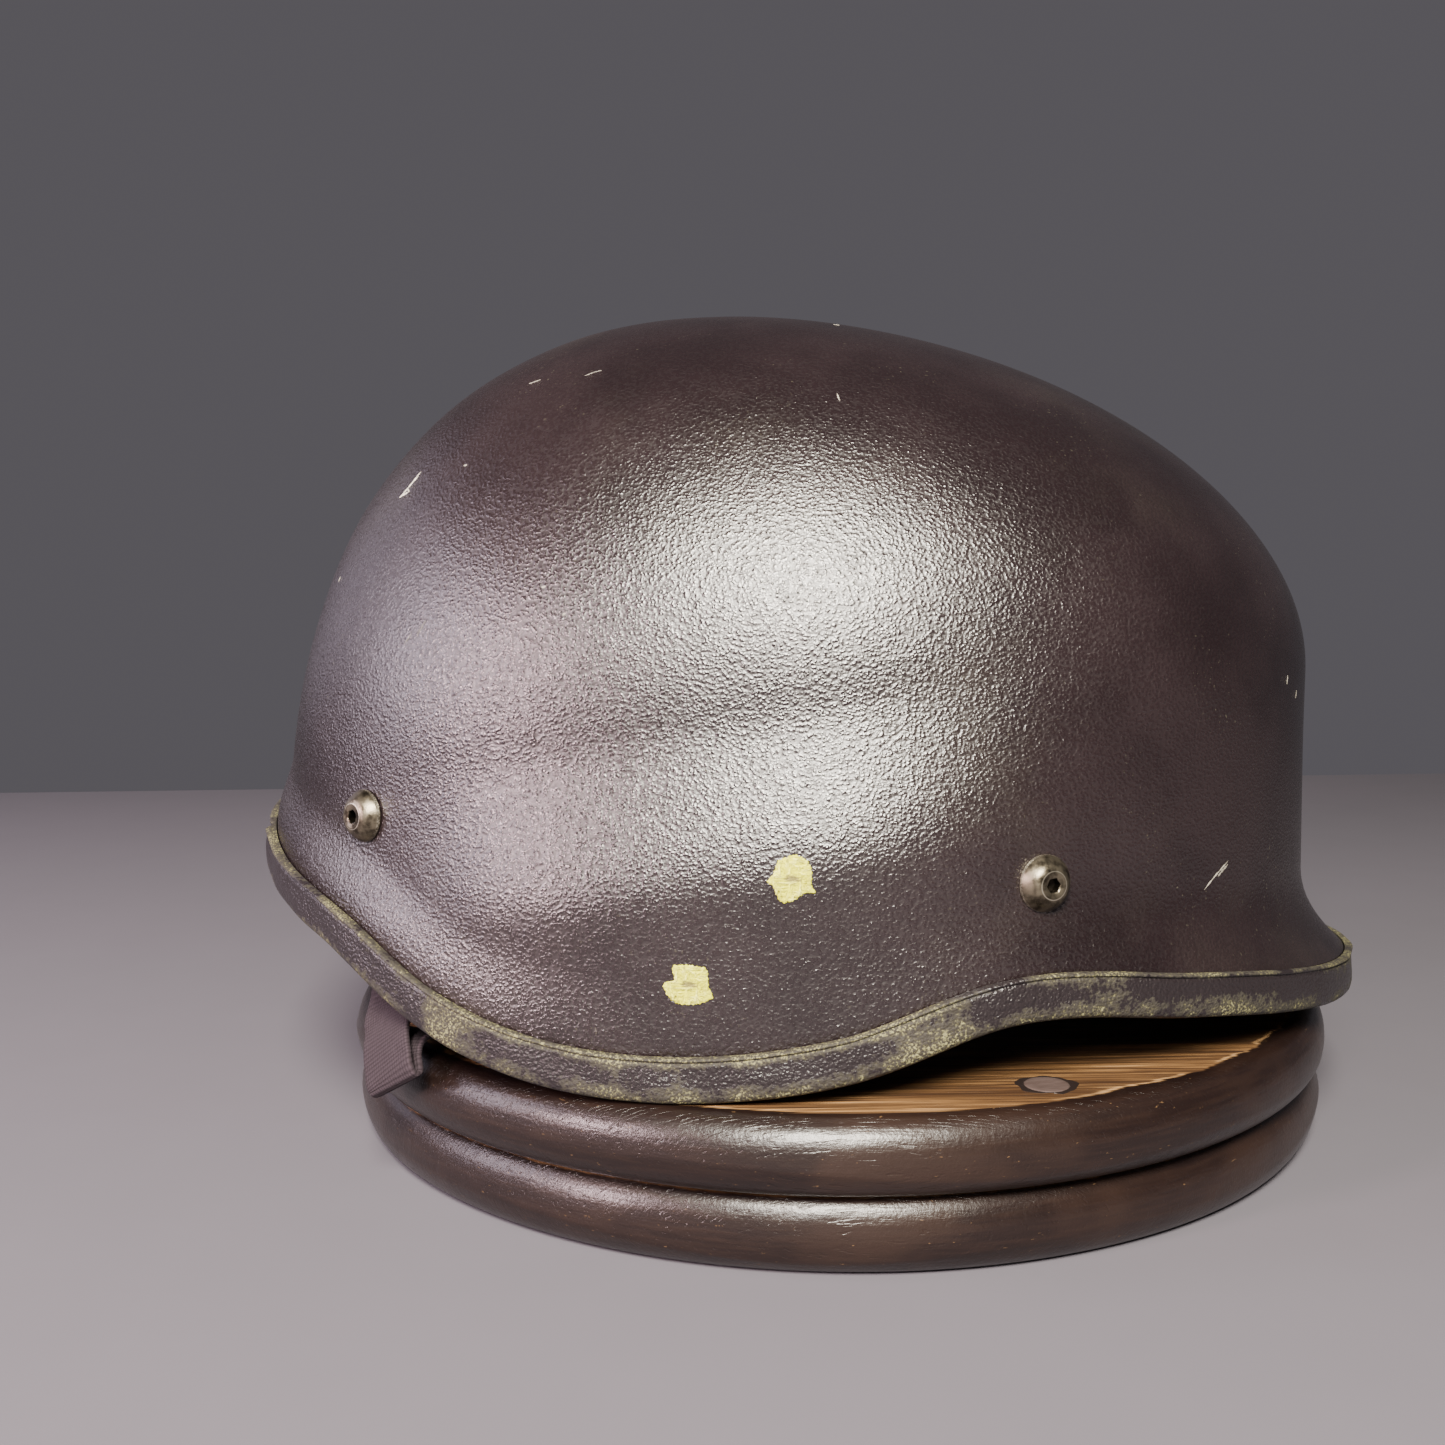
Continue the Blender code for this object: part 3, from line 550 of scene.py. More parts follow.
def shell_surface(sizes, azimuth, height):
    """Point of the shell's outer face at each azimuth and height, in the helmet's frame.

    In plan, reach = ((|cos a| / end reach) ^ n + (|sin a| / half width) ^ n) ^ (-1 / n). With r, the share of
    the way from the brow to the crown, the dome shrinks it by (1 - r ^ p) ^ (1 / p) while the middle moves
    forward by crown_forward * r ^ 2. Below, a flare at the brim, the nape and the corners between them and the
    ears, and a bulge over each ear are added to the reach.
    """
    azimuth, height = np.broadcast_arrays(np.asarray(azimuth, float), np.asarray(height, float))
    forward = np.cos(azimuth)
    sideways = np.sin(azimuth)
    ahead = forward > 0
    reach = np.where(ahead, sizes.front_reach, sizes.back_reach)
    plan = (np.abs(forward) / reach) ** sizes.plan_power
    plan = plan + (np.abs(sideways) / sizes.half_width) ** sizes.plan_power
    radius = plan ** (-1.0 / sizes.plan_power)
    brow_middle = (sizes.brow_front + sizes.brow_back) / 2
    brow = brow_middle + (sizes.brow_front - sizes.brow_back) / 2 * forward
    rise = np.clip((height - brow) / (sizes.crown_height - brow), 0.0, 1.0)
    end_power = np.where(ahead, sizes.power_front, sizes.power_back)
    power = end_power * forward**2 + sizes.power_side * sideways**2
    dome = np.maximum(1.0 - rise**power, 0.0) ** (1.0 / power)
    trim_top = sizes.trim_height * rim_steepness(sizes, azimuth)
    over_trim = height - rim_height(sizes, azimuth) - trim_top
    brim_share = smooth_step(1.0 - over_trim / sizes.brim_flare_height)
    nape_share = np.clip(1.0 - over_trim / sizes.nape_flare_height, 0.0, 1.0)
    towards_nape = smooth_step((-forward - sizes.nape_begins) / sizes.nape_blend)
    profile = (1.0 - towards_nape) * brim_share + towards_nape * nape_share**2
    end_flare = np.where(ahead, sizes.brim_flare, sizes.nape_flare)
    fade = np.where(ahead, sizes.flare_power, sizes.nape_power)
    corner = np.where(ahead, sizes.corner_flare, sizes.rear_corner) * (2 * forward * sideways) ** 2
    flare = (end_flare * np.abs(forward) ** fade + corner) * profile
    off_ear = np.abs((np.abs(np.degrees(azimuth)) + 180.0) % 360.0 - 180.0) - sizes.ear_azimuth
    ear = sizes.ear_bulge * np.exp(-(np.abs(off_ear / sizes.ear_spread) ** sizes.ear_power))
    ear = ear * smooth_step((brow + sizes.ear_bulge_top - height) / sizes.ear_bulge_height)
    radius = radius * dome + flare + ear
    return np.stack(
        [-forward * radius - sizes.crown_forward * rise**2, -sideways * radius, height], axis=-1
    )


def outward(sizes, azimuth, height):
    """Unit normal of the outer face, from the surface's two slopes."""
    step = 1e-4
    round_step = shell_surface(sizes, azimuth + step, height) - shell_surface(sizes, azimuth - step, height)
    up_step = shell_surface(sizes, azimuth, height + step) - shell_surface(sizes, azimuth, height - step)
    return unit(np.cross(round_step, up_step))


def seated(sizes, points):
    """Points of the helmet's frame moved to where the helmet rests on the stand."""
    turn = -sizes.yaw
    cosine, sine = math.cos(turn), math.sin(turn)
    x = cosine * points[..., 0] - sine * points[..., 1] + sizes.shift_right
    y = sine * points[..., 0] + cosine * points[..., 1] + sizes.shift_away
    return np.stack([x, y, points[..., 2] + HELMET_TOP - sizes.crown_height], -1)


def seated_direction(sizes, vector):
    turned = Matrix.Rotation(-sizes.yaw, 3, "Z") @ Vector(vector)
    return np.array(turned)


def skin(sizes, azimuth, height, lift=0.0):
    """Outer face with the slow unevenness of its moulding, and lift metres over it along the normal.

    The unevenness is a sum of three sines of azimuth and of the share of the way from rim to crown, and it
    fades to nothing at both.
    """
    azimuth, height = np.broadcast_arrays(np.asarray(azimuth, float), np.asarray(height, float))
    rim = rim_height(sizes, azimuth)
    share = (height - rim) / (sizes.crown_height - rim)
    wave = np.sin(3 * azimuth + 9 * share) + 0.7 * np.sin(7 * azimuth - 14 * share + 1.0)
    wave = wave + 0.5 * np.sin(11 * azimuth + 23 * share + 2.0)
    fade = smooth_step(share / 0.25) * smooth_step((1.0 - share) / 0.10)
    out = sizes.ripple * wave * fade + lift
    return shell_surface(sizes, azimuth, height) + outward(sizes, azimuth, height) * out[..., None]


def skin_patch(sizes, azimuth, share, right, up, lift):
    """Points on the outer face, offset from a place by metres to the right and up.

    The place is an azimuth in degrees and a share of the crown's height. right turns into azimuth through the
    reach at that place and up adds to the height, so that the patch follows the shell.
    """
    turn_step, height_step = 1e-3, 1e-4
    azimuth, height = np.radians(azimuth), np.array(share * sizes.crown_height)
    middle = shell_surface(sizes, azimuth, height)
    beside = shell_surface(sizes, azimuth + turn_step, height)
    above = shell_surface(sizes, azimuth, height + height_step)
    azimuths = azimuth + right * turn_step / np.linalg.norm(beside - middle)
    heights = height + up * height_step / np.linalg.norm(above - middle)
    return seated(sizes, skin(sizes, azimuths, heights, lift))


# Materials


class Wire:
    """Output of a node. Its sums, products, powers and size are Math nodes."""

    def __init__(self, nodes, socket):
        self.nodes, self.socket = nodes, socket

    def __add__(self, other):
        return self.nodes.math("ADD", self, other)

    def __sub__(self, other):
        return self.nodes.math("SUBTRACT", self, other)

    def __mul__(self, other):
        return self.nodes.math("MULTIPLY", self, other)

    def __pow__(self, other):
        return self.nodes.math("POWER", self, other)

    def __abs__(self):
        return self.nodes.math("ABSOLUTE", self)


class Nodes:
    """Short calls for a material's node tree. A colour can be the name of one of the finishes' colours."""

    def __init__(self, name):
        self.finish = bpy.data.materials.new(name)
        self.finish.use_nodes = True
        self.tree = self.finish.node_tree
        outputs = self.tree.nodes.new("ShaderNodeTexCoord").outputs
        self.place, self.uv = Wire(self, outputs["Object"]), Wire(self, outputs["UV"])

    def put(self, targets, values):
        for key, value in values.items():
            if isinstance(value, str):
                value = tuple(getattr(settings("helmet_finishes"), value))
            if isinstance(value, Wire):
                self.tree.links.new(value.socket, targets[key])
            elif targets[key].type == "RGBA":
                targets[key].default_value = (*value, 1.0)
            else:
                targets[key].default_value = value

    def add(self, kind, values, output=0, **options):
        """New node of a kind with its options and the values of its inputs. Gives one of its outputs."""
        node = self.tree.nodes.new("ShaderNode" + kind)
        for key, option in options.items():
            setattr(node, key, option)
        self.put(node.inputs, values)
        return Wire(self, node.outputs[output])

    def mapped(self, source, scale, turn=(0.0, 0.0, 0.0)):
        return self.add("Mapping", {"Vector": source, "Scale": scale, "Rotation": turn}, "Vector")

    def noise(self, vector, scale, detail=2.0, roughness=0.5, distortion=0.0):
        values = {"Vector": vector, "Scale": scale, "Detail": detail}
        return self.add("TexNoise", values | {"Roughness": roughness, "Distortion": distortion}, "Fac")

    def cells(self, vector, scale, smoothness):
        values = {"Vector": vector, "Scale": scale, "Smoothness": smoothness, "Randomness": 1.0}
        return self.add("TexVoronoi", values, "Distance", feature="SMOOTH_F1")

    def math(self, operation, *values):
        return self.add("Math", dict(enumerate(values)), operation=operation)

    def ramp(self, value, low, high, to_low=0.0, to_high=1.0):
        """Smooth step of a value from low to high."""
        values = {"Value": value, "From Min": low, "From Max": high, "To Min": to_low, "To Max": to_high}
        return self.add("MapRange", values, "Result", interpolation_type="SMOOTHSTEP")

    def coats(self, tone, *coats):
        """Coats of (share, colour) laid over a tone, one after another."""
        for share, colour_over in coats:
            tone = self.add("Mix", {0: share, 6: tone, 7: colour_over}, 2, data_type="RGBA")
        return tone

    def split(self, vector):
        node = self.tree.nodes.new("ShaderNodeSeparateXYZ")
        self.put(node.inputs, {0: vector})
        return [Wire(self, output) for output in node.outputs]

    def bump(self, height, distance, strength=1.0, **under):
        values = {"Height": height, "Distance": distance, "Strength": strength}
        return self.add("Bump", values | under, "Normal")

    def done(self, tone, roughness, specular=0.5, metallic=0.0, **normal):
        """Finished material with these inputs of its shader."""
        values = {"Base Color": tone, "Roughness": roughness, "Specular IOR Level": specular}
        self.put(self.tree.nodes["Principled BSDF"].inputs, values | {"Metallic": metallic, **normal})
        return self.finish


def grain_relief(n):
    """Pebbled grain of about 1 mm, a little wider than high, from smooth cells and two noises."""
    wide = n.mapped(n.place, (1.0, 1.0, 1.12))
    pebble = n.cells(wide, 1260.0, 0.30)
    ridge = n.noise(wide, 1900.0, 2.0, 0.55, 0.2)
    soft = n.noise(n.place, 700.0, 1.0)
    return pebble * -0.8 + ridge * 0.9 + soft * 0.45


def paint_finish():
    """Textured satin paint: pebbled grain with painted shade in its crevices, slow shifts of tone, specks and a
    film of dust.
    """
    n = Nodes("shell_paint")
    relief = grain_relief(n)
    slow = n.noise(n.place, 22.0, 3.0, 0.6)
    specks = n.ramp(n.noise(n.place, 1500.0, 1.0), 0.70, 0.76)
    dusty = n.ramp(n.noise(n.place, 40.0, 3.0, 0.65), 0.50, 0.70)
    film = n.ramp(n.noise(n.place, 14.0, 4.0, 0.6), 0.50, 0.80)
    tone = n.coats(
        "paint_dark",
        (n.ramp(slow, 0.35, 0.70), "paint_light"),
        # Paler tops of the grain: painted shade in the crevices between the pebbles
        (n.ramp(relief, 0.30, 0.60) * 0.30, "paint_light"),
        (specks * (dusty * 0.6), "paint_dust"),
        (film * 0.08, "paint_dust"),
    )
    fine = n.bump(n.noise(n.place, 3600.0, 1.0), 0.00003, 0.8, Normal=n.bump(relief, 0.00015))
    return n.done(tone, n.ramp(relief, 0.12, 0.44, 0.32, 0.21), 0.9, Normal=fine)


def aramid_finish():
    """Bare aramid fibre: pale yellow, frayed in crossing hairs, with painted shade in its pits and a dark mark
    near its middle.

    U and V are metres to the right and up from the patch's middle.
    """
    n = Nodes("bare_aramid")
    first = n.noise(n.mapped(n.uv, (200.0, 1150.0, 1.0), (0.0, 0.0, 0.5)), 1.0, 4.0, 0.68, 1.0)
    second = n.noise(n.mapped(n.uv, (1050.0, 190.0, 1.0), (0.0, 0.0, 0.3)), 1.0, 4.0, 0.68, 1.0)
    hairs = n.math("MAXIMUM", first, second)
    # Dark specks of painted shade in the pits between the fibres
    pit_shade = n.ramp(n.noise(n.mapped(n.uv, (900.0, 900.0, 1.0)), 1.0, 2.0, 0.6, 1.2), 0.54, 0.64)
    right, up = n.split(n.uv)[:2]
    mark = (right * 520.0) ** 2.0 + (up * 1000.0) ** 2.0 + (first - 0.5) * 3.0
    tone = n.coats(
        "aramid",
        (n.ramp(hairs, 0.50, 0.68), "aramid_pale"),
        (pit_shade * 0.55, "aramid_pit_shade"),
        (n.ramp(mark, 0.15, 0.95, 0.85, 0.0), "aramid_mark"),
    )
    return n.done(tone, 0.85, 0.2, Normal=n.bump(hairs, 0.0015))


def nick_finish():
    """Pale scratch with torn tone. V is its strength."""
    n = Nodes("scratched_paint")
    torn = n.noise(n.place, 2500.0, 2.0, 0.6)
    pale = n.coats("nick", (n.ramp(torn, 0.35, 0.65), "nick_dull"))
    tone = n.coats("paint_light", (n.split(n.uv)[1], pale))
    return n.done(tone, 0.6, Normal=n.bump(torn, 0.0001, 0.8))


def rubber_finish():
    """Black grained rubber with ragged pale residue, thickest along its lip, its foot and a few stretches.

    U is the azimuth's share of a turn, and V runs from 1 at the top of the outer leg to 0 at its bottom.
    """
    n = Nodes("trim_rubber")
    u, v = n.split(n.uv)[:2]
    relief = grain_relief(n)
    clumps = n.noise(n.place, 75.0, 5.0, 0.68, 0.4)
    flecks = n.noise(n.place, 620.0, 4.0, 0.75, 0.3)
    fine = n.noise(n.place, 2100.0, 2.0, 0.6)
    cover = clumps + n.ramp(v, 0.74, 0.98) * 0.13 + n.ramp(v, 0.42, 0.05) * 0.12
    soft_u, soft_v = 0.012, 0.12
    for low, high, bottom, top, amount in RESIDUE_ZONES:
        low, high = low / 360, high / 360
        along = n.ramp(u, low - soft_u, low + soft_u) * n.ramp(u, high + soft_u, high - soft_u)
        upright = n.ramp(v, bottom - soft_v, bottom + soft_v) * n.ramp(v, top + soft_v, top - soft_v)
        cover = cover + along * upright * amount
    cover = cover + (flecks - 0.5) * 0.34 + (relief - 0.4) * -0.16
    mask = n.ramp(cover, 0.54, 0.60)
    tone = n.coats(
        "rubber",
        (fine * 0.5, "rubber_grey"),
        (mask, "residue_dark"),
        (n.ramp(cover, 0.58, 0.74) * n.ramp(fine, 0.30, 0.60), "residue"),
        (n.ramp(cover, 0.63, 0.77) * n.ramp(fine, 0.50, 0.62), "residue_pale"),
    )
    crust = n.bump(mask * 0.4 + fine * 0.5, 0.0001, 0.9, Normal=n.bump(relief, 0.00021))
    return n.done(tone, n.ramp(mask, 0.0, 1.0, 0.32, 0.75), Normal=crust)


def steel_finish():
    """Worn plating with light tarnish, worn bright patches round the head's foot, a painted highlight round the
    ring on top and painted shade inside the socket.

    V is 0 below the head, 0.15 at its edge, 0.62 at the ring on top and 1 inside the socket.
    """
    n = Nodes("bolt_steel")
    v = n.split(n.uv)[1]
    blotch = n.noise(n.place, 420.0, 3.0, 0.6)
    fine = n.noise(n.place, 3000.0, 3.0, 0.65)
    # Painted highlight round the edge of the ring on top
    ring = n.ramp(abs(v - 0.62), 0.035, 0.012) * 0.7
    # Worn bright patches of plating round the head's foot
    skirt = n.ramp(abs(v - 0.15), 0.07, 0.02) * n.ramp(fine, 0.40, 0.60)
    tone = n.coats(
        "steel_dark",
        (n.ramp(blotch, 0.30, 0.62), "steel"),
        (n.ramp(fine, 0.58, 0.74, 0.0, 0.5), "steel_dark"),
        (n.math("MAXIMUM", ring, skirt), "steel_bright"),
        # Painted shade over the socket's walls and bottom
        (n.ramp(v, 0.945, 0.985), "socket"),
    )
    worn = n.bump(fine + blotch * 1.5, 0.00004, 0.7)
    return n.done(tone, n.ramp(blotch, 0.3, 0.7, 0.27, 0.42), metallic=0.92, Normal=worn)


def webbing_finish():
    """Black webbing: ribs across it, each crossed by fine yarns. U and V are metres across and along."""
    n = Nodes("strap_webbing")
    strap = settings("strap_sizes")
    across, along = n.split(n.uv)[:2]
    ribs = abs(n.math("SINE", along * (math.pi / strap.rib_pitch)))
    yarns = abs(n.math("SINE", across * (math.pi / strap.yarn_pitch)))
    relief = ribs * 0.45 + yarns * 0.40 + n.noise(n.place, 1900.0, 4.0, 0.75) * 0.9
    slow = n.noise(n.place, 160.0, 2.0, 0.6)
    tone = n.coats(
        "webbing",
        (n.ramp(relief, 0.60, 1.45), "webbing_light"),
        (n.ramp(slow, 0.50, 0.75, 0.0, 0.35), "webbing_light"),
    )
    return n.done(tone, 0.9, 0.25, Normal=n.bump(relief, 0.0002))


def wood_finish(name, centre_away, open_radius, edge_low, edge_high, edge_strength):
    """Open grained wood inside a radius and dark satin stain outside it, with a ragged border between them.

    The grain runs left to right. edge_low and edge_high give the heights of a rubbed pale line.
    """
    n = Nodes(name)
    x, y, z = n.split(n.place)
    away = y + -centre_away
    slant = (0.0, 0.0, -0.10)
    lines = n.noise(n.mapped(n.place, (22.0, 900.0, 120.0), slant), 1.0, 4.0, 0.65, 0.5)
    bands = n.noise(n.mapped(n.place, (6.0, 130.0, 40.0), slant), 1.0, 3.0, 0.6, 0.8)
    pores = n.ramp(n.noise(n.mapped(n.place, (110.0, 3600.0, 900.0), slant), 1.0), 0.58, 0.70)
    top = n.coats(
        "wood_dark",
        (n.ramp(lines, 0.36, 0.62), "wood"),
        (n.ramp(bands, 0.42, 0.70, 0.0, 0.75), "wood_dark"),
        (n.ramp(lines, 0.55, 0.72) * 0.55, "wood_tan"),
        (pores * 0.5, "wood_dark"),
    )
    streaks = n.noise(n.mapped(n.place, (70.0, 70.0, 900.0)), 1.0, 3.0, 0.6, 0.3)
    blotch = n.noise(n.place, 26.0, 3.0, 0.55)
    chips = n.ramp(n.noise(n.mapped(n.place, (420.0, 420.0, 1400.0)), 1.0, 3.0, 0.7), 0.68, 0.73)
    rim = n.coats(
        "stain",
        (n.ramp(streaks, 0.35, 0.75, 0.0, 0.45), "stain_light"),
        (n.ramp(blotch, 0.48, 0.66, 0.0, 0.70), "stain_light"),
        (chips * 0.20, "wood_tan"),
    )
    ragged = n.math("SQRT", x * x + away * away) + (lines - 0.5) * 0.0040 + (bands - 0.5) * 0.0034
    outside = n.ramp(ragged, open_radius, open_radius + 0.0006)
    worn = n.ramp(abs(ragged - open_radius), 0.0007, 0.0001, 0.0, 0.65)
    jagged = (n.noise(n.place, 150.0, 4.0, 0.7) - 0.5) * 0.0009
    rubbed = n.ramp(z + jagged, edge_low, edge_high) * edge_strength
    tone = n.coats(
        top,
        (outside, rim),
        (worn * n.ramp(bands, 0.40, 0.60), "wood_tan"),
        (rubbed, n.coats("wood", (n.ramp(streaks, 0.35, 0.65), "wood_tan"))),
    )
    coat = n.bump(lines * 0.5 + streaks * 0.5 + pores * -0.3, 0.00017, 0.8)
    fine = n.noise(n.place, 1100.0, 3.0, 0.65) + n.noise(n.place, 90.0) * 3.0
    normal = n.bump(fine, 0.00009, 0.9, Normal=coat)
    return n.done(tone, n.ramp(outside, 0.0, 1.0, 0.50, 0.31), Normal=normal)


def plug_finish():
    """Grey brown plug in a dark ragged ring of painted shade, standing in for the recess round the plug.

    V is 0 at the plug's middle, 0.73 at its edge and 1 at the dark ring's outer edge.
    """
    n = Nodes("dark_wood")
    grain = n.noise(n.mapped(n.place, (300.0, 900.0, 300.0)), 1.0, 3.0, 0.6)
    ragged = n.split(n.uv)[1] + (n.noise(n.place, 900.0, 3.0, 0.7) - 0.5) * 0.10
    # The dark ring round the plug is painted shade of its recess
    tone = n.coats("plug", (n.ramp(grain, 0.3, 0.7), "plug_grain"), (n.ramp(ragged, 0.70, 0.76), "recess_shade"))
    return n.done(tone, 0.42, Normal=n.bump(n.noise(n.place, 900.0), 0.00006, 0.6))


def floor_finish():
    """Pale matt floor with a very faint mottle."""
    n = Nodes("pale_floor")
    deep = tuple(0.93 * part for part in settings("helmet_finishes").floor)
    return n.done(n.coats(deep, (n.noise(n.place, 30.0, 3.0, 0.6), "floor")), 0.8)


# Pieces


def shell_mesh(sizes):
    """Both faces of the shell as one grid of azimuth by row, from the inner crown down, round the rim and up.

    Inner points lie one wall inside the outer ones along the normal.
    """
    azimuth = steps_round(sizes.columns)
    rim = rim_height(sizes, azimuth)
    base = rim + sizes.trim_height * rim_steepness(sizes, azimuth)
    top = base + sizes.nape_flare_height

    def outer_rows(flare_rows, dome_rows):
        rows = [rim, (rim + base) / 2]
        rows += [base + sizes.nape_flare_height * row / flare_rows for row in range(flare_rows)]
        steps = [math.sin(math.pi / 2 * row / dome_rows) for row in range(dome_rows)]
        rows += [top + (sizes.crown_height - top) * share for share in steps]
        return np.array(rows)

    outer = skin(sizes, azimuth[None, :], outer_rows(sizes.flare_rows, sizes.dome_rows))
    heights = outer_rows(sizes.inner_flare_rows, sizes.inner_rows)
    inner = shell_surface(sizes, azimuth[None, :], heights)
    inner = inner - outward(sizes, azimuth[None, :], heights) * sizes.wall
    grid = seated(sizes, np.concatenate([inner[::-1], outer]))
    crown = np.array([-sizes.crown_forward, 0.0, sizes.crown_height])
    end = seated(sizes, crown)
    return lay_grid("helmet_skin", grid, wrap=True, start=end - np.array([0.0, 0.0, sizes.wall]), end=end)


def bare_patch_mesh(sizes, name):
    """Thin frayed pad on the skin: reach(direction) times a share, with a ragged edge, lifted inside it.

    The outline is a closed curve through the table plus fine sines, and the lift grows from the edge
    inwards with a mottle of sines. U and V are metres to the right and up.
    """
    azimuth, share, radius = BARE_PLACES[name]
    table = np.array(BARE_OUTLINES[name], float)
    turned = np.concatenate([table + (turns * 360.0, 0.0) for turns in (-1, 0, 1)])
    turn = steps_round(128)
    reach = curve_through(turned[:, 0], turned[:, 1], np.degrees(turn)) * radius
    fray = 0.020 * np.sin(23 * turn + 1.0) + 0.016 * np.sin(37 * turn + 2.0) + 0.012 * np.sin(51 * turn)
    shares, lifts = PATCH_ROWS[:, :1], PATCH_ROWS[:, 1:]
    right = np.cos(turn) * reach * (1.0 + fray) * shares
    up = np.sin(turn) * reach * (1.0 + fray) * shares
    mottle = np.sin(right * 9000 + 1.3) * np.sin(up * 8000 + 0.4) + 0.6 * np.sin(right * 17000 - up * 14000)
    mottle_height, fray_begins = 0.00004, 0.96
    lift = lifts + mottle_height * mottle * (shares < fray_begins)
    points = skin_patch(sizes, azimuth, share, right, up, lift)
    start, end = (skin_patch(sizes, azimuth, share, 0.0, 0.0, lifts[row, 0]) for row in (0, -1))
    mesh = lay_grid(name, points, wrap=True, start=start, end=end)
    flat = np.concatenate([np.stack([right, up], -1).reshape(-1, 2), np.zeros((2, 2))])
    corners = np.empty(len(mesh.loops), dtype=np.int64)
    mesh.loops.foreach_get("vertex_index", corners)
    mesh.uv_layers[0].data.foreach_set("uv", flat[corners].ravel())
    return mesh


def nick_mesh(sizes, row, index):
    """Sliver on the skin, a lens of length by width, bent a little and torn at its edges."""
    azimuth, share, long, wide, slope, strength = row
    u = np.linspace(-1.0, 1.0, 22)[:, None]
    v = np.array([-1.0, 0.0, 1.0])[None, :]
    half = np.sqrt(np.maximum(1.0 - u**2, 0.0)) * (1.0 + 0.35 * np.sin(11 * u + index) + 0.2 * np.sin(23 * u))
    forth = u * long / 2 + 0 * v
    side = v * half * wide / 2 + 0.12 * wide * np.sin(3 * u + index)
    turn = math.radians(slope)
    right = forth * math.cos(turn) - side * math.sin(turn)
    up = forth * math.sin(turn) + side * math.cos(turn)
    edge_lift, middle_lift = 0.00003, 0.00010
    lift = edge_lift + (middle_lift - edge_lift) * (1.0 - v**2) * half
    points = skin_patch(sizes, azimuth, share, right, up, lift)
    return lay_grid("nick", points.transpose(1, 0, 2), u.ravel(), np.full(3, strength))


def trim_mesh(sizes, trim):
    """Rubber channel: the section table set on the wall at every azimuth.

    Each point is wall point + across * face + down * drop, where the wall point slides between the rim and
    the trim's top edge. The face swells by a slow wobble, and near the joint it dips and steps.
    """
    azimuth = steps_round(trim.columns)
    rim = rim_height(sizes, azimuth)
    stretch = rim_steepness(sizes, azimuth)
    base = rim + sizes.trim_height * stretch
    rim_out = shell_surface(sizes, azimuth, rim)
    top_out = shell_surface(sizes, azimuth, base)
    rim_in = rim_out - outward(sizes, azimuth, rim) * sizes.wall
    top_in = top_out - outward(sizes, azimuth, base) * sizes.wall
    rim_in[:, 2] = rim_out[:, 2]
    across = unit(rim_out - rim_in)
    away = (azimuth - trim.joint + math.pi) % (2 * math.pi) - math.pi
    notch = np.exp(-((away / trim.joint_width) ** 2))
    proud = trim.joint_step * np.where(away > 0, np.exp(-away / trim.joint_fade), 0.0) * (1.0 - notch)
    wobble = np.sin(9 * azimuth) + 0.8 * np.sin(23 * azimuth + 1.0) + 0.6 * np.sin(47 * azimuth + 2.0)
    swell = trim.wobble * wobble + proud
    ripple_height, foot_level = 0.00008, 0.12
    rows, levels = [], []
    for leg, low, high, sign in (("outer", rim_out, top_out, 1.0), ("inner", rim_in, top_in, -1.0)):
        upward = unit(high - low)
        for height, face, drop in TRIM_SECTION[leg]:
            out = trim.gap + face * trim.wall * (1.0 - trim.joint_notch * notch)
            if leg == "outer":
                ripple = ripple_height * np.sin(31 * azimuth + 5 * height)
                out = out + swell * min(face, 1.0) + (face > 0.2) * ripple
            below = trim.gap + drop * trim.wall if drop else 0.0
            point = low + (high - low) * height + across * (sign * out)[:, None]
            rows.append(point - upward * (below * stretch)[:, None])
            on_leg = height if leg == "outer" and drop == 0.0 else 0.0
            levels.append(foot_level * (1.0 - drop) + (1.0 - foot_level) * on_leg)
    for low, high, sign in ((rim_in, top_in, -1.0), (rim_out, top_out, 1.0)):
        rows.append(low + across * sign * trim.gap - unit(high - low) * (trim.gap * stretch)[:, None])
        levels.append(0.0)
    levels = levels[::-1] + levels[-1:]
    grid = seated(sizes, np.array(rows))[::-1]
    return lay_grid("trim_channel", grid, None, levels, wrap=True, wrap_rows=True)


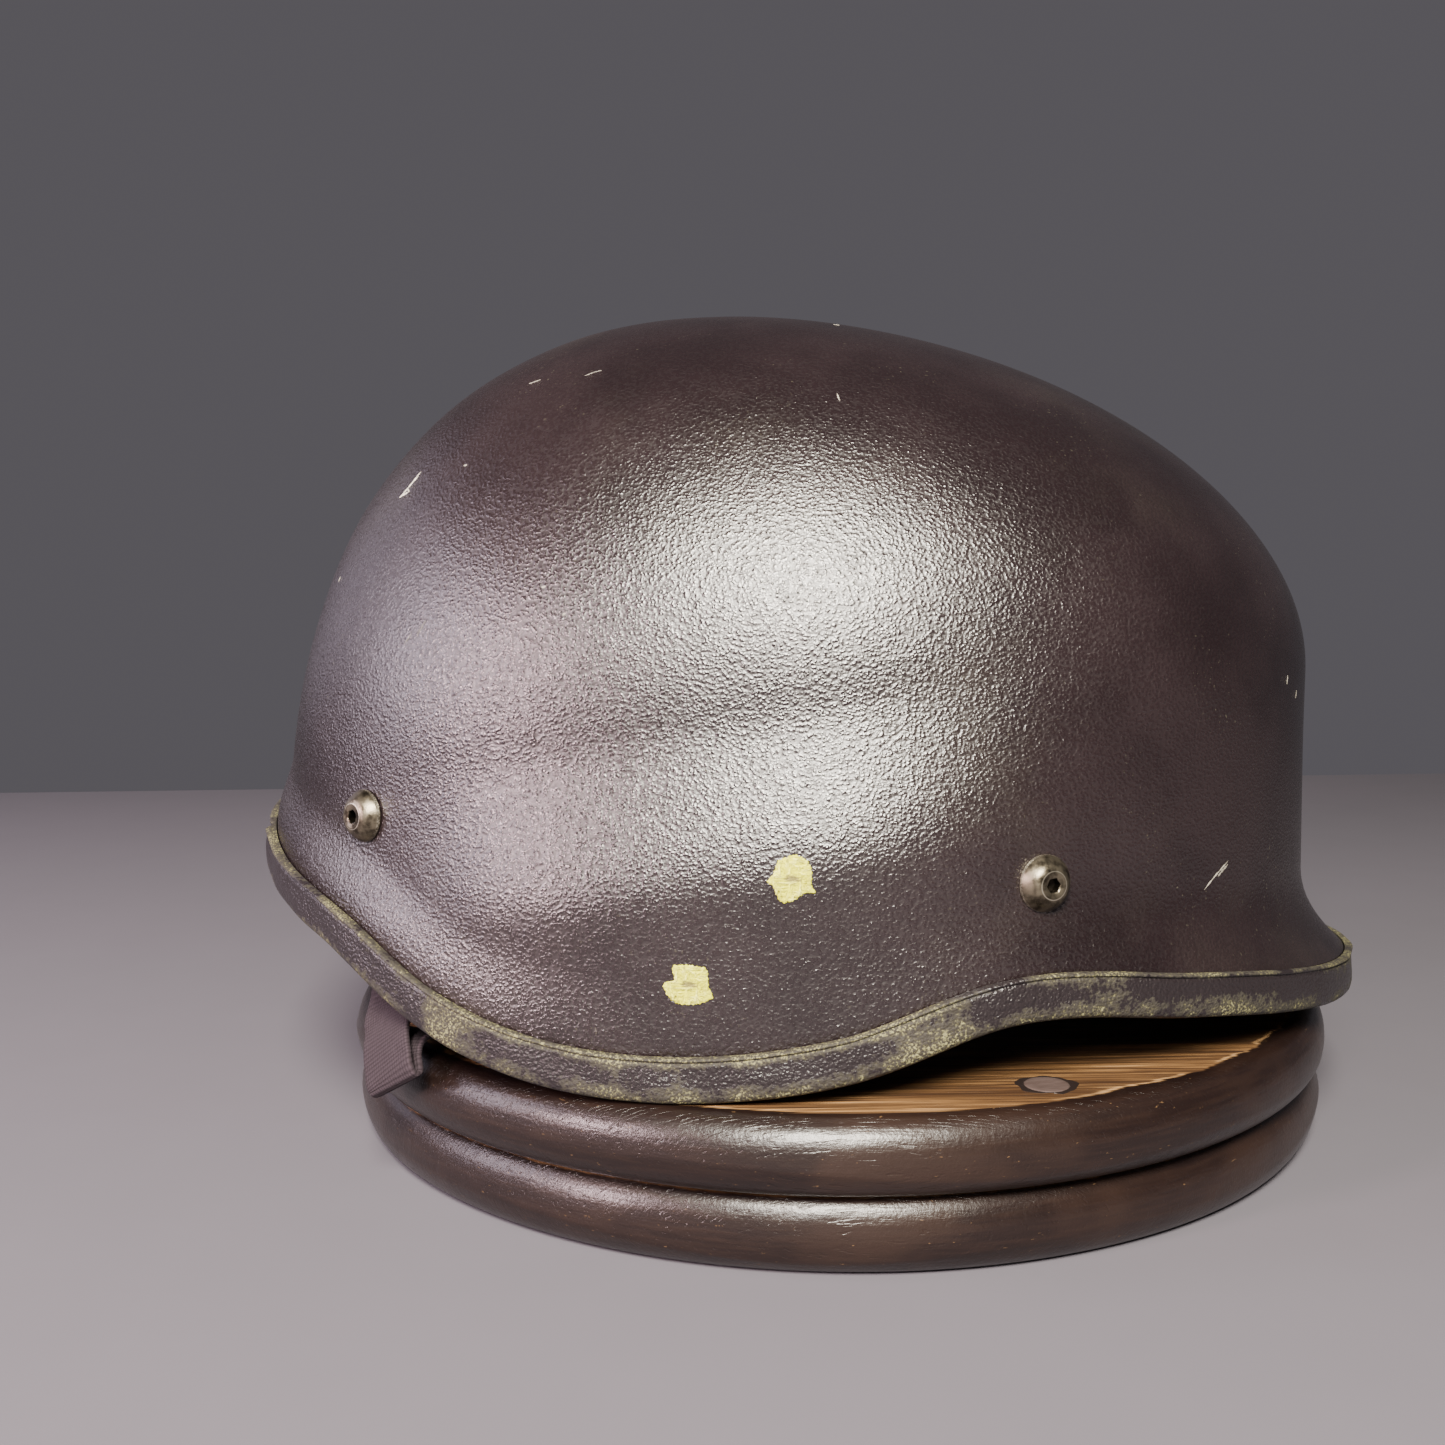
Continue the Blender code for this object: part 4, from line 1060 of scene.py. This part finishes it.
def bolt_profile(bolts, grip):
    """Rows of (radius, height, hex share, V) from the middle of the nut's end out and up to the socket.

    Steps of a tenth of a millimetre or so round the corners, and the dome's height is a power of a quarter
    sine between the head's edge and the ring on top.
    """
    top, flat, head, nut = bolts.head_height, bolts.flat_radius, bolts.head_radius, bolts.nut_radius
    nut_end = -grip - bolts.nut_thickness
    socket, socket_end = bolts.socket_flats / 2, top - bolts.socket_depth
    lip = socket * 1.20
    rows = [
        (nut / 2, nut_end, 0.0, 0.0),
        (nut - 0.0004, nut_end, 0.0, 0.0),
        (nut, nut_end + 0.0004, 0.0, 0.0),
        (nut, -grip - 0.0003, 0.0, 0.0),
        (nut - 0.0003, -grip, 0.0, 0.0),
        (bolts.shank_radius, -grip, 0.0, 0.0),
        (bolts.shank_radius, -0.0001, 0.0, 0.0),
        (head - 0.0002, -0.0001, 0.0, 0.05),
        (head, 0.0002, 0.0, 0.12),
        (head, 0.0007, 0.0, 0.17),
        (head - 0.00015, 0.0010, 0.0, 0.22),
    ]
    for share in (0.15, 0.30, 0.45, 0.60, 0.75, 0.88):
        radius = head - 0.0002 - (head - 0.0002 - flat) * share
        height = 0.0010 + (top - 0.0011) * math.sin(math.pi / 2 * share) ** 0.9
        rows.append((radius, height, 0.0, 0.22 + 0.36 * share))
    rows += [
        (flat + 0.00012, top - 0.00006, 0.0, 0.60),
        (flat - 0.00010, top, 0.0, 0.65),
        (flat - 0.00030, top - 0.00004, 0.0, 0.72),
        (lip + 0.00008, top - 0.00006, 0.0, 0.86),
        (lip, top - 0.00010, 0.0, 0.92),
        (socket, top - 0.00026, 1.0, 0.97),
        (socket, socket_end, 1.0, 1.0),
        (socket / 2, socket_end - 0.0002, 0.5, 1.0),
    ]
    return np.array(rows)


def bolt_mesh(sizes, bolts, strap, trim, row):
    """Bolt turned about its own axis.

    The radius is the row's times 1, or times 1 / cos(angle from the nearest flat) in the hex.
    """
    name, degrees, share, clamps, clock = row
    grip = sizes.wall + 2 * trim.gap
    if clamps:
        grip += strap.wall_gap + strap.thickness
    azimuth, height = np.radians(degrees), np.array(share * sizes.crown_height)
    place = seated(sizes, shell_surface(sizes, azimuth, height))
    axis = seated_direction(sizes, outward(sizes, azimuth, height))
    side = unit(np.cross([0.0, 0.0, 1.0], axis))
    lift = np.cross(axis, side)
    rows = bolt_profile(bolts, grip)[:, None, :]
    turn = steps_round(bolts.columns)
    sixth = math.pi / 3
    off_flat = (turn + math.radians(clock) + sixth / 2) % sixth - sixth / 2
    radius = rows[..., 0] * (1.0 + rows[..., 2] * (1.0 / np.cos(off_flat) - 1.0))
    spoke = np.cos(turn)[:, None] * side + np.sin(turn)[:, None] * lift
    points = place + radius[..., None] * spoke + rows[..., 1:2] * axis
    start = place + axis * rows[0, 0, 1]
    end = place + axis * (rows[-1, 0, 1] - 0.0002)
    return lay_grid(name + "_turned", points, None, rows[:, 0, 3], wrap=True, start=start, end=end)


def strap_route(sizes, strap, stand):
    """Centre line of the webbing from bolt to bolt, with its heading and the tilt of its width in degrees.

    It goes down the near inner wall and out under the rim, turns back up on itself beside the upper board,
    comes in over the board's edge, lies across the board in a bow and climbs the far inner wall.
    """
    centre = np.array([0.0, stand.upper_away, BOARD_TOP])
    lie = stand.clearance + strap.thickness / 2
    up = np.array([0.0, 0.0, 1.0])
    heading = strap.fold_heading
    fold_out = np.array([math.cos(heading), math.sin(heading), 0.0])
    fold_along = np.array([-math.sin(heading), math.cos(heading), 0.0])
    inward = math.degrees(heading) - 180.0

    def on_wall(bolt, lift, slack):
        """Point over or under a bolt. The tab above it follows the wall, and the rest hangs plumb."""
        azimuth = np.radians(bolt[1])
        height = bolt[2] * sizes.crown_height
        depth = sizes.wall + strap.wall_gap + strap.thickness * (0.5 + slack)
        tab = max(lift, 0.0) * strap.tab
        place = shell_surface(sizes, azimuth, height + tab) - outward(sizes, azimuth, height) * depth
        return seated(sizes, place) + up * min(lift, 0.0) * strap.tab

    def by_fold(out, along, height):
        place = centre + fold_out * (stand.board_radius + lie + out * strap.thickness)
        return place + fold_along * (strap.fold_along + along * strap.width) + up * (lie + height * strap.width)

    rows = [(on_wall(BOLT_TABLE[0], lift, slack), inward, 0.0) for lift, slack in WALL_TABLE]
    rows += [(by_fold(*place), inward, tilt) for *place, tilt in DOWN_TABLE]
    down = math.sin(strap.fold_tilt) * fold_along - math.cos(strap.fold_tilt) * up
    bend_radius = (strap.thickness + strap.fold_gap) / 2
    for turn in np.linspace(0.0, math.pi, 7):
        place = by_fold(*BEND_PLACE) + bend_radius * (math.cos(turn) * fold_out + math.sin(turn) * down)
        rows.append((place, inward, math.degrees(strap.fold_tilt)))
    rows += [(by_fold(*place), inward, tilt) for *place, tilt in UP_TABLE]
    for right, away, height, turn in BOARD_TABLE:
        place = centre + np.array([right, away, 0.0]) * stand.board_radius
        rows.append((place + up * (lie + height * sizes.brim_lift), turn, 0.0))
    far = math.degrees(strap.far_heading)
    return rows + [(on_wall(BOLT_TABLE[2], lift, slack), far, 0.0) for lift, slack in WALL_TABLE[::-1]]


def strap_mesh(sizes, strap, stand):
    """Rounded webbing section carried along the route.

    Across the strap the section is a superellipse, width * cos ^ (1 / 4) by thickness * sin ^ (1 / 2), and
    its thickness swells by rib_height * |sin| once per rib.
    """
    rows = strap_route(sizes, strap, stand)
    places = np.array([row[0] for row in rows])
    turns = np.array([row[1:] for row in rows])
    spans = np.linalg.norm(np.diff(places, axis=0), axis=1)
    knots = np.concatenate([[0.0], np.cumsum(spans)])
    stops = np.linspace(0.0, knots[-1], int(knots[-1] / strap.step))
    line = curve_through(knots, places, stops)
    heading, tilt = np.radians(curve_through(knots, turns, stops)).T
    forward = unit(np.gradient(line, stops, axis=0))
    level = np.stack([np.sin(heading), -np.cos(heading), np.zeros_like(heading)], axis=-1)
    wide = level * np.cos(tilt)[:, None] + np.array([0.0, 0.0, 1.0]) * np.sin(tilt)[:, None]
    wide = unit(wide - forward * np.sum(wide * forward, axis=1, keepdims=True))
    face = np.cross(forward, wide)
    turn = steps_round(20)
    cosine, sine = np.cos(turn), np.sin(turn)
    half_wide = np.sign(cosine) * np.abs(cosine) ** 0.25 * strap.width / 2
    half_thick = np.sign(sine) * np.abs(sine) ** 0.5 * strap.thickness / 2
    rib = strap.rib_height * np.abs(np.sin(math.pi * stops / strap.rib_pitch))
    swell = 1.0 + (rib[:, None] - strap.rib_height / 2) / (strap.thickness / 2) * np.abs(sine)
    points = line[:, None, :] + wide[:, None, :] * half_wide[:, None]
    points = points + face[:, None, :] * (half_thick * swell)[..., None]
    across = np.append(half_wide, half_wide[0])
    return lay_grid("strap_webbing", points, across, stops, wrap=True, start=line[0], end=line[-1])


def board_mesh(name, stand, base, top, away, seed):
    """Round board turned from its section: flat faces and a rounded edge that was cut and sanded by hand.

    radius = board radius - edge * (1 - cos t) and height = half thickness * (1 + sin t). A soft crease of
    1 / (1 + (|t - t0| / w) ^ 1.5), whose place t0 and depth drift with the angle by slow sines, leaves two
    bevels, and the radius swells by a few more sines.
    """
    turn = steps_round(stand.columns)
    arc = np.linspace(-math.pi / 2, math.pi / 2, 45)[:, None]
    flat = stand.board_radius - stand.board_edge
    inner = flat * np.array([[0.25], [0.5], [0.7], [0.85], [0.94], [0.98]])
    swell = np.sin(3 * turn + seed) + 0.8 * np.sin(5 * turn + 2 * seed) + 0.6 * np.sin(11 * turn + 3 * seed)
    crease_at = -0.22 + 0.28 * np.sin(2 * turn + seed) + 0.16 * np.sin(7 * turn + 2.3 * seed)
    depth = stand.carving * (0.65 + 0.35 * np.sin(4 * turn + 1.5 * seed))
    crease_width = 0.22
    crease = 1.0 / (1.0 + (np.abs(arc - crease_at) / crease_width) ** 1.5)
    cut = stand.unevenness * (swell - 2.0) - depth * (1.0 - crease)
    edge = flat + (stand.board_edge + cut) * np.cos(arc)
    face = inner + 0 * turn
    radius = np.concatenate([face, edge, face[::-1]])
    rise = (1 + np.sin(arc)) / 2
    share = np.concatenate([0 * inner, rise, 0 * inner + 1.0])
    height = base + (top - base) * share + 0 * radius
    grid = np.stack([radius * np.cos(turn), radius * np.sin(turn) + away, height], -1)
    return lay_grid(name, grid, wrap=True, start=(0.0, away, base), end=(0.0, away, top))


def plug_mesh(stand):
    """Plug, a little dished, in a thin dark ring that spreads round it with a ragged outline and carries
    painted shade of the plug's recess.

    The dark ring's radius is the plug's times 1.26 and slow sines, longest to the right and to the left.
    """
    middle = np.array([stand.plug_right, stand.plug_away + stand.upper_away, BOARD_TOP])
    turn = steps_round(96)
    # Outline of the ring of painted shade round the plug
    recess_shade = 1.26 + 0.12 * np.cos(2 * turn) + 0.07 * np.sin(5 * turn + 1.0) + 0.04 * np.sin(9 * turn)
    plain, share, height, level = PLUG_TABLE.T[..., None]
    radius = (plain + share * recess_shade) * stand.plug_radius
    grid = middle + np.stack([radius * np.cos(turn), radius * np.sin(turn), height + 0 * radius], -1)
    start, end = (middle + (0.0, 0.0, lift) for lift in (-0.0010, 0.00011))
    return lay_grid("plug_turned", grid, None, level.ravel(), wrap=True, start=start, end=end)


class HELMET_OT_skin(bpy.types.Operator):
    """Build the painted shell"""

    bl_idname = "helmet.skin"
    bl_label = "Painted shell"

    def execute(self, context):
        add_piece(shell_mesh(settings("helmet_sizes")), paint_finish(), ["helmet_shell"])
        return {"FINISHED"}


class HELMET_OT_bare_patches(bpy.types.Operator):
    """Build the two places where bare aramid shows"""

    bl_idname = "helmet.bare_patches"
    bl_label = "Bare patches"

    def execute(self, context):
        finish = aramid_finish()
        for name in BARE_PLACES:
            add_piece(bare_patch_mesh(settings("helmet_sizes"), name), finish, sharp=60.0)
        return {"FINISHED"}


class HELMET_OT_nicks(bpy.types.Operator):
    """Build the small scratches in the paint"""

    bl_idname = "helmet.nicks"
    bl_label = "Scratches"

    def execute(self, context):
        sizes = settings("helmet_sizes")
        slivers = [nick_mesh(sizes, row, index) for index, row in enumerate(NICK_TABLE)]
        add_piece(join_meshes("paint_nicks", slivers), nick_finish())
        return {"FINISHED"}


class HELMET_OT_trim(bpy.types.Operator):
    """Build the rubber edge trim"""

    bl_idname = "helmet.trim"
    bl_label = "Edge trim"

    def execute(self, context):
        mesh = trim_mesh(settings("helmet_sizes"), settings("trim_sizes"))
        add_piece(mesh, rubber_finish(), ["edge_trim"], sharp=55.0)
        return {"FINISHED"}


class HELMET_OT_bolts(bpy.types.Operator):
    """Build the four bolts"""

    bl_idname = "helmet.bolts"
    bl_label = "Bolts"

    def execute(self, context):
        finish = steel_finish()
        groups = [settings(name) for name in ("helmet_sizes", "bolt_sizes", "strap_sizes", "trim_sizes")]
        for row in BOLT_TABLE:
            add_piece(bolt_mesh(*groups, row), finish, [row[0]], sharp=32.0)
        return {"FINISHED"}


class HELMET_OT_strap(bpy.types.Operator):
    """Build the chin strap"""

    bl_idname = "helmet.strap"
    bl_label = "Chin strap"

    def execute(self, context):
        mesh = strap_mesh(settings("helmet_sizes"), settings("strap_sizes"), settings("stand_sizes"))
        add_piece(mesh, webbing_finish(), ["chin_strap"], sharp=60.0)
        return {"FINISHED"}


class HELMET_OT_stand(bpy.types.Operator):
    """Build the two boards and the plug"""

    bl_idname = "helmet.stand"
    bl_label = "Stand"

    def execute(self, context):
        stand = settings("stand_sizes")
        open_radius = stand.board_radius - stand.stain_width
        lower = board_mesh("board_lower", stand, 0.0, LOWER_TOP, 0.0, 1.7)
        rubbed = LOWER_TOP - 0.0011, LOWER_TOP - 0.0003, 0.95
        finish = wood_finish("stained_wood_lower", 0.0, open_radius, *rubbed)
        add_piece(lower, finish, ["stand_lower_board"])
        upper = board_mesh("board_upper", stand, UPPER_BASE, BOARD_TOP, stand.upper_away, 0.6)
        unrubbed = BOARD_TOP, BOARD_TOP + 1.0, 0.0
        finish = wood_finish("stained_wood_upper", stand.upper_away, open_radius, *unrubbed)
        add_piece(upper, finish, ["stand_upper_board"])
        add_piece(plug_mesh(stand), plug_finish(), ["stand_plug"])
        return {"FINISHED"}


class HELMET_OT_stage(bpy.types.Operator):
    """Set the floor, the lights and the camera"""

    bl_idname = "helmet.stage"
    bl_label = "Stage"

    def execute(self, context):
        stage = settings("helmet_stage")
        scene = context.scene
        side = np.linspace(-FLOOR_REACH, FLOOR_REACH, 3)
        depth = np.linspace(-FLOOR_REACH, stage.floor_behind, 3)
        x, y = np.meshgrid(side, depth)
        mesh = lay_grid("floor", np.stack([x, y, 0 * x - FLOOR_DROP], -1), side, depth)
        mesh.materials.append(floor_finish())
        floor = bpy.data.objects.new("floor", mesh)
        scene.collection.objects.link(floor)
        scene.world = bpy.data.worlds.new("studio")
        scene.world.use_nodes = True
        background = scene.world.node_tree.nodes["Background"].inputs
        background["Color"].default_value = (*settings("helmet_finishes").world, 1.0)
        background["Strength"].default_value = stage.world
        placed = []
        for name, azimuth, elevation, distance, width, height, power, tint in LIGHT_TABLE:
            lamp = bpy.data.lights.new(name, "AREA")
            lamp.shape = "RECTANGLE"
            lamp.size, lamp.size_y = width, height
            lamp.energy, lamp.color = power * stage.light, tint
            side, lift = math.radians(azimuth), math.radians(elevation)
            level = math.cos(lift)
            towards = Vector((math.sin(side) * level, -math.cos(side) * level, math.sin(lift)))
            light = bpy.data.objects.new(name, lamp)
            light.location = Vector(LIGHTS_AIM) + towards * distance
            light.rotation_euler = towards.to_track_quat("Z", "Y").to_euler()
            placed.append(light)
        data = bpy.data.cameras.new("camera")
        data.sensor_width, data.lens, data.clip_start = 36.0, stage.lens, 0.01
        camera = bpy.data.objects.new("camera", data)
        aim = Vector((stage.aim_right, settings("stand_sizes").upper_away, stage.aim_up))
        turn = Matrix.Rotation(math.pi / 2 - stage.pitch, 4, "X") @ Matrix.Rotation(stage.roll, 4, "Z")
        camera.matrix_world = Matrix.Translation(aim) @ turn @ Matrix.Translation((0.0, 0.0, stage.distance))
        scene.camera = camera
        for thing in (*placed, camera):
            scene.collection.objects.link(thing)
        return {"FINISHED"}


class HELMET_PT_panel(bpy.types.Panel):
    """Sizes, finishes and pieces of the helmet"""

    bl_idname = "HELMET_PT_panel"
    bl_label = "Helmet on a stand"
    bl_space_type = "VIEW_3D"
    bl_region_type = "UI"
    bl_category = "Helmet"

    def draw(self, context):
        for operator in OPERATORS:
            self.layout.operator(operator.bl_idname)
        for name in GROUPS:
            box = self.layout.box()
            box.label(text=GROUPS[name].__doc__)
            for key in GROUPS[name].__annotations__:
                box.prop(getattr(context.scene, name), key)


GROUPS = {
    "helmet_sizes": HelmetSizes,
    "trim_sizes": TrimSizes,
    "bolt_sizes": BoltSizes,
    "strap_sizes": StrapSizes,
    "stand_sizes": StandSizes,
    "helmet_finishes": Finishes,
    "helmet_stage": StageSettings,
}

OPERATORS = (
    HELMET_OT_skin,
    HELMET_OT_bare_patches,
    HELMET_OT_nicks,
    HELMET_OT_trim,
    HELMET_OT_bolts,
    HELMET_OT_strap,
    HELMET_OT_stand,
    HELMET_OT_stage,
)


def register():
    for name, group in GROUPS.items():
        bpy.utils.register_class(group)
        setattr(bpy.types.Scene, name, PointerProperty(type=group))
    for operator in OPERATORS:
        bpy.utils.register_class(operator)
    bpy.utils.register_class(HELMET_PT_panel)


def unregister():
    bpy.utils.unregister_class(HELMET_PT_panel)
    for operator in reversed(OPERATORS):
        bpy.utils.unregister_class(operator)
    for name, group in GROUPS.items():
        delattr(bpy.types.Scene, name)
        bpy.utils.unregister_class(group)


def main():
    register()
    bpy.ops.helmet.skin()
    bpy.ops.helmet.bare_patches()
    bpy.ops.helmet.nicks()
    bpy.ops.helmet.trim()
    bpy.ops.helmet.bolts()
    bpy.ops.helmet.strap()
    bpy.ops.helmet.stand()
    bpy.ops.helmet.stage()


if __name__ == "__main__":
    main()
